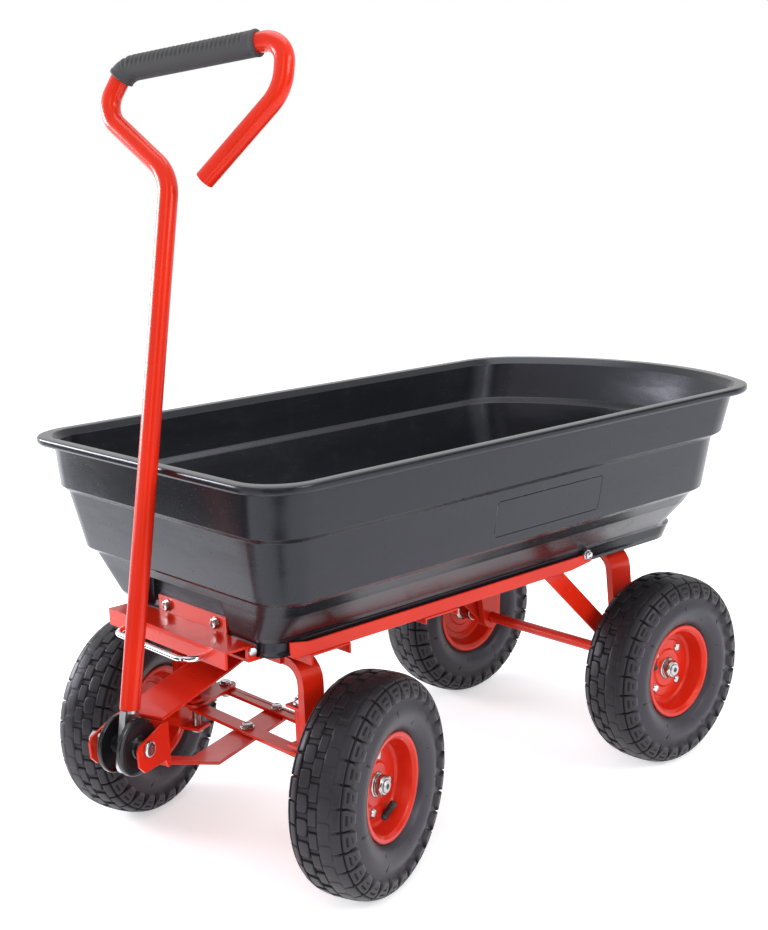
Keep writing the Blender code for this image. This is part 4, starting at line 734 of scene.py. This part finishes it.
def tread(s, q, pitch):
    """How far the rubber stands off its smooth section, and how much painted shade darkens it, at each place.

    s is the place round the tyre in pitches, q the distance over the section from the crown line.
    A crown row, two middle rows of round-cornered blocks half a pitch away, two shoulder rows with
    short slits, and lugs whose gaps open towards the sidewall: what lies outside them all is sunk.
    The rows on the outer side are fainter, and each sidewall has two rings of vents and a ridge.
    """
    def cross(offset, count=1):
        """Distance round the tyre to the nearest place with that share."""
        return ((s * count - offset + 0.5) % 1.0 - 0.5) * pitch / count

    out = np.abs(q)
    along = cross(0.0)
    ragged = 0.0004 * np.sin(s * 7.3 + 2.1 * np.sign(q)) + 0.0003 * np.sin(s * 2.9)
    crown = block(along, q, 0.36 * pitch, CROWN_HALF, 0.0008)
    middle = block(cross(0.5), out - MIDDLE_PLACE + ragged, 0.375 * pitch, MIDDLE_HALF, 0.0034)
    shoulder = block(along, out - SHOULDER_PLACE, 0.455 * pitch, SHOULDER_HALF, 0.0008)
    narrowing = 0.27 * np.maximum(out - 0.0415, 0)
    lug = block(along, out - LUG_PLACE, 0.460 * pitch - narrowing, LUG_HALF, 0.0010)
    outside = np.minimum.reduce(np.broadcast_arrays(crown, middle, shoulder, lug))
    sunk = smooth(outside, -0.0004, 0.0006) * (1 - smooth(out, 0.0580, 0.0760))
    floor = 0.0019 + 0.0016 * smooth(out, 0.0200, 0.0300) + 0.0010 * smooth(out, 0.0440, 0.0540)
    faint = 1 - 0.72 * smooth(q, 0.0050, 0.0070) * (1 - smooth(q, 0.0270, 0.0320))
    inner_slit = np.maximum(np.abs(along) - 0.0048, np.abs(out - INNER_SLIT) - 0.0004)
    outer_slit = np.maximum(np.abs(along) - 0.0030, np.abs(out - OUTER_SLIT))
    slit = np.maximum(groove(inner_slit, 0.0010, 0.0004), groove(outer_slit, 0.0010, 0.0004))
    depth = faint * np.maximum(floor * sunk, 0.0012 * slit)
    large = np.hypot(cross(0.0, 7 / PITCHES), out - VENT_PLACE)
    small = np.hypot(cross(0.35, 8 / PITCHES), out - SMALL_VENT_PLACE)
    vents = 0.0010 * (1 - smooth(large, 0.0014, 0.0024)) + 0.0008 * (1 - smooth(small, 0.0010, 0.0018))
    ridge = 0.0006 * groove(out - RING_PLACE, 0.0018, 0.0005)
    # painted shade: dark lines along the block edges and slits, darker groove floors and darkened vents
    line = groove(outside - 0.0004, 0.0014, 0.0005) * (1 - 0.85 * smooth(out, 0.0455, 0.0500))
    dark = np.clip(faint * np.maximum(line, slit) + 0.25 * sunk * faint + vents * 900, 0, 1)
    return ridge - vents - depth, dark * (1 - smooth(out, 0.0850, 0.0880))


def tyre_grid():
    """The tyre: its section turned round the axle, moved along its own normal by the tread.

    Each pitch has more columns near the gaps between its blocks than in their middle.
    """
    section = tyre_section()
    across = distance_along(section)
    across -= across[-1] / 2
    rows = tread_rows(across[-1])
    w = np.interp(rows, across, section[:, 0])
    r = np.interp(rows, across, section[:, 1])
    slope_w = np.gradient(w, rows)
    slope_r = np.gradient(r, rows)
    size = np.hypot(slope_w, slope_r)
    near = np.array([0.0, 0.06, 0.105, 0.13, 0.16, 0.20, 0.26, 0.33, 0.36, 0.39, 0.43, 0.46, 0.48])
    shares = np.sort(np.concatenate([near, 1 - near[:0:-1], [0.5]]))
    turns = (np.arange(PITCHES)[:, None] + shares).ravel()[None]
    angle = turns / PITCHES * 2 * PI
    q = rows[:, None]
    lift, relief = tread(turns, q, 2 * PI * r[:, None] / PITCHES)
    reach = r[:, None] + (slope_w / size)[:, None] * lift
    place = w[:, None] - (slope_r / size)[:, None] * lift
    grid = np.stack([np.sin(angle) * reach, place + 0 * angle, np.cos(angle) * reach], -1)
    return grid, relief, q + 0 * turns


def build_tyre(word, at, body):
    """The tyre, with the painted shade of its grooves and its distance from the crown line for the rubber's
    looks.
    """
    grid, relief, across = tyre_grid()
    piece("tyre_" + word + "_rubber", [patch(grid, relief=relief, across=across)],
          "tyre_rubber", body, ["tyre_" + word], at)


def build_rim(word, at, body):
    """Two pressed halves with curled flanges, deep barrels and stepped webs, and the tyre's bead on them."""
    bead = np.array([(0.0272, 0.0650), (0.0270, 0.0600), (0.0262, 0.0566)])
    bead = np.concatenate([bead, bead[::-1] * (-1, 1)])
    piece("bead_" + word, [patch(lathe(bead))], "black_rubber", body, (), at)
    outer = [
        (0.0268, 0.0560), (0.0269, 0.0636), (0.0290, 0.0640), (0.0299, 0.0626), (0.0296, 0.0588),
        (0.0262, 0.0545), (0.0180, 0.0522), (0.0085, 0.0500), (0.0060, 0.0470), (0.0060, 0.0400),
        (WEB_FACE, 0.0388), (WEB_FACE, 0.0272), (0.0088, 0.0250), (0.0090, 0.0150),
    ]
    inner = [(-place, radius) for place, radius in outer[::-1]]
    barrel = [(-0.0268, 0.0560), (0.0268, 0.0560)]
    profiles = (filleted(outer, 0.0016, 5), filleted(inner, 0.0016, 5), barrel)
    piece("rim_" + word + "_pressed", [patch(lathe(profile, 144)) for profile in profiles],
          "red_paint", body, ["rim_" + word], at)


def build_rivets(word, at, body, phase):
    """Four rivets that hold the rim's halves together."""
    head = filleted([(-0.0010, 0.0062), (0.0010, 0.0060), (0.0024, 0.0044), (0.0027, CLOSED)], 0.0010, 5)
    rivets = []
    for angle in phase + np.arange(4) * PI / 2:
        middle = (-np.sin(angle) * RIVET_CIRCLE, WEB_FACE, np.cos(angle) * RIVET_CIRCLE)
        rivets.append(patch(lathe(head, 32) + middle))
    piece("rivets_" + word, rivets, "zinc_plate", body, (), at)


def build_valve(word, at, body, angle):
    """A valve with its cap, leaning outwards from the barrel."""
    stem = filleted([(0.0, 0.0058), (0.0032, 0.0054), (0.0052, 0.0042), (0.0150, 0.0038), (0.0152, 0.0045),
                     (0.0232, 0.0044), (0.0242, 0.0032), (0.0243, CLOSED)], 0.0006, 4)
    root = np.array([0.0, 0.0062, 0.0515])
    tip = np.array([0.0135, 0.0180, 0.0350])
    level = np.cross(tip - root, (0, 1.0, 0))
    tube = rings_at(root, tip, level / np.linalg.norm(level), stem, 32)
    piece("valve_" + word, [patch(moved(tube, turned(-angle, "Y")))], "black_rubber", body, (), at)


def build_hub(word, at, body):
    """The hub's turned sleeve and the seal at its mouth."""
    sleeve = filleted([(0.0105, 0.0084), (0.0105, 0.0134), (0.0098, 0.0146), (0.0090, 0.0150),
                       (0.0090, 0.0132), (-0.0090, 0.0132), (-0.0090, 0.0170), (-0.0120, 0.0170),
                       (-0.0145, 0.0130), (-0.0355, 0.0130), (-0.0360, 0.0122), (-0.0360, 0.0084)], 0.0005, 4)
    piece("hub_" + word + "_turned", [patch(lathe(sleeve, 64))], "zinc_plate", body, ["hub_" + word], at)
    seal = filleted([(0.0101, 0.0086), (0.0106, 0.0090), (0.0106, 0.0112), (0.0101, 0.0116)], 0.0002, 4)
    piece("seal_" + word, [patch(lathe(seal, 48))], "black_rubber", body, (), at)


def build_axle_nut(word, at, body):
    """Washer, hexagon with chamfered corners and locking collar, and the axle's end with a black disc painted
    on as the shade in its centre hole.
    """
    face = 0.0108
    washer_top = face + 0.0016
    tip = 0.0226
    axle = 0.00812
    washer = filleted([(face, 0.0083), (face, 0.0128), (washer_top, 0.0130), (washer_top, 0.0110)], 0.0004, 4)
    rows = [(washer_top, 0.0112, 0.0), (face + 0.0017, 0.0123, 0.4), (face + 0.0022, 0.0125, 1.0),
            (face + 0.0066, 0.0125, 1.0), (face + 0.0072, 0.0121, 0.35), (face + 0.0073, 0.0106, 0.0),
            (face + 0.0090, 0.0104, 0.0), (face + 0.0095, 0.0098, 0.0), (face + 0.0095, 0.0083, 0.0)]
    piece("nut_" + word + "_zinc", [patch(lathe(washer, 48)), patch(hex_lathe(rows))], "zinc_plate", body,
          ["axle_nut_" + word], at)
    end = filleted([(face + 0.0090, axle), (tip - 0.0009, axle), (tip, 0.0072), (tip, CLOSED)], 0.0003, 4)
    piece("axle_end_" + word, [patch(lathe(end, 48))], "steel", body, (), at)
    # painted shade: a flat black disc stands for the shade inside the axle's centre hole
    centre = [(tip + 0.0001, 0.0034), (tip + 0.0001, CLOSED)]
    piece("axle_centre_hole_shade_" + word, [patch(lathe(centre, 32))], "black_rubber", body, (), at)


def build_kingpin(side, word):
    """A painted sleeve between the arch's two tabs, with the pin, washer and nut above and the head below."""
    at = CART @ shift(0, side * KINGPIN_Y, 0) @ turned(PI / 2, "X")
    sleeve = filleted([(0.1636, 0.0052), (0.1636, 0.0083), (0.2090, 0.0083), (0.2090, 0.0052)], 0.0005, 4)
    piece("kingpin_" + word + "_sleeve", [patch(lathe(sleeve, 48))], "red_paint", "chassis",
          ["kingpin_" + word], at)
    nut = 0.2133
    rows = [(nut, 0.0052, 0.0), (nut, 0.0100, 0.0), (nut + 0.0014, 0.0100, 0.0), (nut + 0.0015, 0.0076, 0.0),
            (nut + 0.0019, 0.0085, 1.0), (nut + 0.0066, 0.0085, 1.0), (nut + 0.0074, 0.0076, 0.2),
            (nut + 0.0075, 0.0050, 0.0), (nut + 0.0098, 0.0048, 0.0), (nut + 0.0104, 0.0042, 0.0),
            (nut + 0.0104, CLOSED, 0.0)]
    head = [(0.1163, CLOSED, 0.0), (0.1163, 0.0066, 0.0), (0.1168, 0.0084, 1.0), (0.1205, 0.0085, 1.0),
            (0.1208, 0.0080, 0.3), (0.1208, 0.0050, 0.0), (0.1600, 0.0050, 0.0)]
    piece("kingpin_" + word + "_bolt", [patch(hex_lathe(rows)), patch(hex_lathe(head))], "zinc_plate",
          "chassis", (), at)


def build_wheels():
    """The four wheels, each with its rivets and valve turned their own way."""
    corners = (
        ("front_left", "front", -1, 15, 163),
        ("front_right", "front", 1, 50, 80),
        ("rear_left", "rear", -1, 45, 305),
        ("rear_right", "rear", 1, 20, 200),
    )
    for word, end, side, rivet_angle, valve_angle in corners:
        at = wheel_frame(end, side)
        body = "wheel_" + word
        build_tyre(word, at, body)
        build_rim(word, at, body)
        build_rivets(word, at, body, np.radians(rivet_angle))
        build_valve(word, at, body, np.radians(valve_angle))
        build_hub(word, at, body)
        build_axle_nut(word, at, body_of("axle_nut_" + word))


# Handle

def handle_path():
    """The tube's centre line: a straight shaft, a sideways neck and an open loop, with round bends."""
    neck = 0.6160
    knots = [(0, HANDLE_OFFSET, 0.0380), (0, HANDLE_OFFSET, neck), (0, 0.0905, neck + 0.0722),
             (0, 0.0660, neck + 0.1185), (0, -0.1420, neck + 0.1390), (0, -0.1420, neck + 0.0840),
             (0, -0.0520, neck - 0.0070)]
    return filleted(knots, (0.048, 0.029, 0.029, 0.029, 0.048), 17)


def build_tube(path):
    """The bent tube, with an open mouth at both ends."""
    flat = (1.0, 0, 0)
    edge = 0.0006
    deep = 0.030
    mouth = [(edge, TUBE_RADIUS), (edge * 0.3, TUBE_RADIUS - edge * 0.3), (0.0, TUBE_RADIUS - edge),
             (0.0, TUBE_BORE + 0.0003), (0.0004, TUBE_BORE), (deep, TUBE_BORE - 0.0001), (deep, CLOSED)]
    travelled = distance_along(path)
    shaft = sampled(path, np.clip(travelled, edge, travelled[-1] - edge))
    parts = [patch(swept(shaft, flat, TUBE_RADIUS, 40), flip=True),
             patch(rings_at(path[0], path[1], flat, mouth, 40)),
             patch(rings_at(path[-1], path[-2], flat, mouth, 40))]
    piece("handle_tube_bent", parts, "red_paint", "handle", ["handle_tube"], HANDLE)


def build_grip(path):
    """The foam sleeve: its radius falls by a rounded cosine of the place along it, on its upper side.

    A smooth cuff stays at each end, and the ends taper to the tube.
    """
    flat = (1.0, 0, 0)
    around = 56
    rib_pitch = 0.0058
    cuff = 0.0040
    places = np.linspace(GRIP_START, GRIP_START + GRIP_LENGTH, 241)
    cover = sampled(path, places)
    along = (places - GRIP_START)[:, None]
    upward = spokes(tangents(cover), flat, around)[:, :, 2]
    angle = np.linspace(0, 2 * PI, around, endpoint=False)[None]
    ribbed = smooth(upward, -0.25, 0.25) * smooth(along, 0.010, 0.016) * (1 - smooth(along, 0.168, 0.174))
    rib = smooth(0.5 + 0.5 * np.cos(2 * PI * (along / rib_pitch + 0.06 * np.sin(angle))), 0.25, 0.75)
    cuffs = groove(along - cuff / 2, cuff) + groove(along - GRIP_LENGTH + cuff / 2, cuff)
    taper = 1 - smooth(along, 0.0, 0.0012) + smooth(along, GRIP_LENGTH - 0.0012, GRIP_LENGTH)
    sleeve = GRIP_RADIUS - 0.0004 - 0.0005 * (1 - np.clip(cuffs, 0, 1))
    grid = swept(cover, flat, sleeve - 0.0009 * ribbed * rib - GRIP_SKIN * taper, around)
    share = (TUBE_RADIUS + 0.0001) / (GRIP_RADIUS - GRIP_SKIN)
    # the rib valleys are stored as painted shade for the foam to darken
    parts = [patch(grid, relief=ribbed * rib, flip=True)]
    for end in (0, -1):
        closing = np.stack([grid[end], cover[end] + (grid[end] - cover[end]) * share])
        parts.append(patch(closing, relief=0.0))
    piece("handle_grip_ribbed", parts, "grip_foam", "handle", ["handle_grip"], HANDLE)


def build_rod():
    """The chrome release rod: a flat U whose ends go into the latch housing."""
    start = -0.0895
    reach = -0.1315
    half = 0.0770
    bend = 0.018
    knots = [(start, -half, ROD_Z), (reach, -half, ROD_Z), (reach, half, ROD_Z), (start, half, ROD_Z)]
    path = filleted(knots, bend, 15)
    grid = swept(path, (0, 0, 1.0), ROD_RADIUS, 28)
    piece("release_rod_chrome", [patch(grid)], "chrome_rod", "latch", ["release_rod"], CART)


def build_discs():
    """The hinge's two shallow cups: a boss against the tongue, a thin web and a rolled rim."""
    profile = filleted([
        (0.0006, 0.0055), (0.0006, 0.0088), (0.0098, 0.0094), (0.0101, 0.0282), (0.0062, 0.0296),
        (0.0058, 0.0309), (0.0066, 0.0318), (0.0104, 0.0318), (0.0112, 0.0308), (0.0120, 0.0270),
        (0.0124, 0.0240), (0.0124, 0.0130), (0.0146, 0.0120), (0.0146, 0.0055),
    ], 0.0007, 5)
    tongue_half = 0.0043
    for side, word in ((-1, "left"), (1, "right")):
        at = HANDLE @ shift(0, HANDLE_OFFSET + side * tongue_half, 0) @ facing(side)
        piece("hinge_cup_" + word, [patch(lathe(profile, 96))], "black_plastic", "handle",
              ["handle_disc_" + word], at)


# Bolts

def body_of(name):
    """The body that a CAD node belongs to."""
    bodies = frame["record"]["behaviour"]["bodies"]
    return next(body for body, members in bodies.items() if name in members)


def bolt_frame(points, axis, start, sense):
    """Axes for a bolt: Y runs from the head to the thread's end, the origin is the head's outer face."""
    middle = (points.min(0) + points.max(0)) / 2
    middle[axis] = start
    matrix = np.eye(4)
    matrix[:3, 1] = np.eye(3)[axis] * sense
    matrix[:3, 0] = np.eye(3)[(axis + 1) % 3]
    matrix[:3, 2] = np.cross(matrix[:3, 0], matrix[:3, 1])
    matrix[:3, 3] = middle
    return matrix


def build_bolt(name):
    """A hexagon bolt over its CAD node, whose six levels give the head, washer, nut and thread's end."""
    mesh = nodes[name].data
    points = np.empty(len(mesh.vertices) * 3)
    mesh.vertices.foreach_get("co", points)
    points = moved(points.reshape(-1, 3), np.array(nodes[name].matrix_world))
    extent = np.ptp(points, axis=0)
    axis = int(np.argmin(np.abs(np.roll(extent, -1) - np.roll(extent, -2))))
    middle = (points.min(0) + points.max(0)) / 2
    away = np.linalg.norm(np.delete(points - middle, axis, 1), axis=1)
    levels = np.unique(np.round(points[:, axis], 4))
    widths = np.array([away[np.abs(points[:, axis] - level) < 0.0001].max() for level in levels])
    sense = 1
    if widths[-1] > widths[0]:
        levels = levels[::-1]
        widths = widths[::-1]
        sense = -1
    under, washer_end, nut_start, nut_end, tip = np.abs(levels - levels[0])[1:]
    big = widths[0]
    shank = big * 0.60
    head = [(0.0003, CLOSED, 0), (0.0003, 0.56 * big, 0), (0.0, 0.62 * big, 0), (0.0, 0.80 * big, 0),
            (0.0007, 0.97 * big, 0.7), (0.0013, big, 1), (under - 0.0003, big, 1), (under, 0.96 * big, 0.8),
            (under, shank, 0)]
    flange = widths[2]
    washer = filleted([(under, shank), (under, flange), (washer_end, flange), (washer_end, shank)], 0.0004, 4)
    nut = [(nut_start, shank, 0), (nut_start, 0.84 * big, 0), (nut_start + 0.0006, 0.97 * big, 0.7),
           (nut_start + 0.0012, big, 1), (nut_end - 0.0012, big, 1), (nut_end - 0.0006, 0.97 * big, 0.7),
           (nut_end, 0.84 * big, 0), (nut_end, shank * 0.9, 0)]
    place = np.linspace(washer_end - 0.0002, tip - 0.0005, 60)
    ridge = shank * (0.955 + 0.045 * np.cos(2 * PI * place / THREAD_PITCH))
    thread = np.concatenate([np.stack([place, ridge], -1), [(tip, shank * 0.82), (tip, CLOSED)]])
    grids = (hex_lathe(head), lathe(washer, 48), hex_lathe(nut), lathe(thread, 36))
    piece(name + "_zinc", [patch(grid) for grid in grids], "zinc_plate", body_of(name), [name],
          bolt_frame(points, axis, levels[0], sense))


def build_bolts():
    """The hexagon bolts that show their head, nut or thread."""
    for name in ("striker_bolt_left", "striker_bolt_right", "tub_stud_left", "tub_stud_right",
                 "arch_bolt_left", "arch_bolt_right", "drawbar_bolt", "steering_bolt_lower",
                 "steering_bolt_upper", "tie_rod_bolt_left", "tie_rod_bolt_right"):
        build_bolt(name)


# CAD nodes that are shown

SOFT_EDGES = {"red_paint": 0.0011, "zinc_plate": 0.0005, "steel": 0.0008}


def look_of(name):
    """The finish of a shown node: plated bolts, the bare tongue, and red paint on all the rest."""
    if name.startswith(("latch_bolt", "handle_bolt")):
        return "zinc_plate"
    return "steel" if name == "handle_tongue" else "red_paint"


def dress_nodes():
    """Give each shown CAD node its finish and small rounded edges."""
    for name, node in nodes.items():
        if node.hide_render:
            continue
        look = look_of(name)
        node.data.materials.clear()
        node.data.materials.append(FINISHES[look])
        weld = node.modifiers.new("weld", "WELD")
        weld.merge_threshold = 0.00001
        flat = node.modifiers.new("flat", "DECIMATE")
        flat.decimate_type = "DISSOLVE"
        flat.angle_limit = np.radians(0.6)
        bevel = node.modifiers.new("edges", "BEVEL")
        bevel.width = SOFT_EDGES[look]
        bevel.segments = 3
        bevel.limit_method = "ANGLE"
        bevel.angle_limit = np.radians(32)
        normals = node.modifiers.new("normals", "WEIGHTED_NORMAL")
        normals.keep_sharp = False
        node.data.polygons.foreach_set("use_smooth", np.ones(len(node.data.polygons), bool))


# Stage

def panel(name, width, height, material):
    """A flat rectangle round the origin, facing up."""
    mesh = bpy.data.meshes.new(name)
    w = width / 2
    h = height / 2
    mesh.from_pydata([(-w, -h, 0), (w, -h, 0), (w, h, 0), (-w, h, 0)], [], [(0, 1, 2, 3)])
    mesh.materials.append(material)
    return add_object(name, mesh)


def aim(item, centre, target, front):
    """Put an item at the centre and turn its front axis to the target."""
    item.location = centre
    item.rotation_euler = (Vector(target) - Vector(centre)).to_track_quat(front, "Y").to_euler()


def flag(name, centre, target, width, height, material):
    """A card that only reflections see."""
    item = panel(name, width, height, material)
    aim(item, centre, target, "Z")
    item.visible_camera = False
    item.visible_diffuse = False
    item.visible_shadow = False


def softbox(name, centre, target, width, height, power, tint=(1, 1, 1)):
    """A rectangular lamp aimed at the target."""
    light = bpy.data.lights.new(name, "AREA")
    light.shape = "RECTANGLE"
    light.size = width
    light.size_y = height
    light.energy = power
    light.color = tint
    aim(add_object(name, light), centre, target, "-Z")


def floor_shade(g):
    """White paper that glows a little, so that it takes the object's shadow and still reads white."""
    diffuse = g.node("BsdfDiffuse", sockets={"Color": colour(0.86, 0.86, 0.87)})
    glow = g.node("Emission", sockets={"Color": colour(1, 1, 1), "Strength": 0.46})
    return g.node("AddShader", sockets={0: diffuse, 1: glow})


def flag_shade(g):
    """Black cloth."""
    return g.node("BsdfDiffuse", sockets={"Color": colour(0.02, 0.02, 0.02)})


def build_world():
    """White for the camera, reflections and clear things, and a softer bluish white as the fill light."""
    world = bpy.context.scene.world or bpy.data.worlds.new("world")
    bpy.context.scene.world = world
    world.use_nodes = True
    g = Graph(world.node_tree)
    rays = g.node("LightPath").output.node.outputs
    seen = [Value(g, rays[word]) for word in ("Is Camera Ray", "Is Glossy Ray", "Is Transmission Ray")]
    shown = g.maths("MINIMUM", seen[0] + seen[1] + seen[2], 1.0)
    soft = g.node("Background", sockets={"Color": colour(0.94, 0.96, 1.0), "Strength": 0.72})
    white = g.node("Background", sockets={"Color": colour(1, 1, 1), "Strength": 1.0})
    both = g.node("MixShader", sockets={0: shown, 1: soft, 2: white})
    g.node("OutputWorld", sockets={"Surface": both})


def build_stage():
    """White floor, four soft lights, and the dark cards that draw the black reflections."""
    floor = panel("floor", 18, 18, material_from("floor", floor_shade))
    dark = material_from("flag", flag_shade)
    flag("flag_camera", (-1.5, -1.75, 1.3), (-0.1, 0, 1.3), 2.6, 2.6, dark)
    flag("flag_far_wall", (1.4, -1.35, 0.90), (1.4, 0, 0.90), 2.2, 0.9, dark)
    flag("flag_front_band", (-0.72, 0.45, 0.30), (0, 0.45, 0.30), 0.9, 0.34, dark)
    flag("flag_corner", (-0.80, -0.66, 0.05), (-0.80, -0.66, 1.0), 0.42, 0.42, dark)
    softbox("softbox_right", (0.9, -2.9, 1.9), (0.0, 0, 0.3), 1.8, 1.2, 52)
    softbox("softbox_left", (-2.2, -1.9, 1.9), (-0.1, 0, 0.35), 1.0, 1.8, 30)
    softbox("softbox_rear_wall", (-1.5, 2.4, 1.00), (0.6, 0, 0.45), 1.7, 0.8, 85, (0.93, 0.94, 1.0))
    softbox("softbox_top", (0.2, 0.2, 3.0), (0, 0, 0.3), 2.4, 2.0, 38)


def build_camera():
    """The photo's view: the place, aim, roll and focal length that fit the cart's points in it."""
    azimuth = np.radians(48.92)
    elevation = np.radians(12.07)
    roll = np.radians(-2.25)
    focal = 1441.03
    centre_x = 382.22
    centre_y = 467.26
    width = 768
    height = 930
    sensor = 36.0
    place = (-0.9612 + FRONT_AXLE_X, -1.3741, 0.8290)
    level = np.cos(elevation)
    ahead = np.array([level * np.cos(azimuth), level * np.sin(azimuth), -np.sin(elevation)])
    right = np.cross(ahead, (0, 0, 1))
    right /= np.linalg.norm(right)
    up = np.cross(right, ahead)
    across = np.cos(roll) * right + np.sin(roll) * up
    upward = -np.sin(roll) * right + np.cos(roll) * up
    camera = bpy.data.cameras.new("photo_view")
    camera.sensor_width = sensor
    camera.lens = focal * sensor / height
    camera.shift_x = (width / 2 - centre_x) / height
    camera.shift_y = (centre_y - height / 2) / height
    item = add_object("photo_view", camera)
    axes = np.eye(4)
    axes[:3, 0] = across
    axes[:3, 1] = upward
    axes[:3, 2] = -ahead
    axes[:3, 3] = place
    item.matrix_world = Matrix(axes.tolist())
    bpy.context.scene.camera = item


build_tub()
build_wheels()
build_tube(handle_path())
build_grip(handle_path())
build_rod()
build_discs()
build_bolts()
build_kingpin(-1, "left")
build_kingpin(1, "right")
dress_nodes()
build_stage()
build_world()
build_camera()
bpy.context.scene.view_settings.view_transform = "Standard"
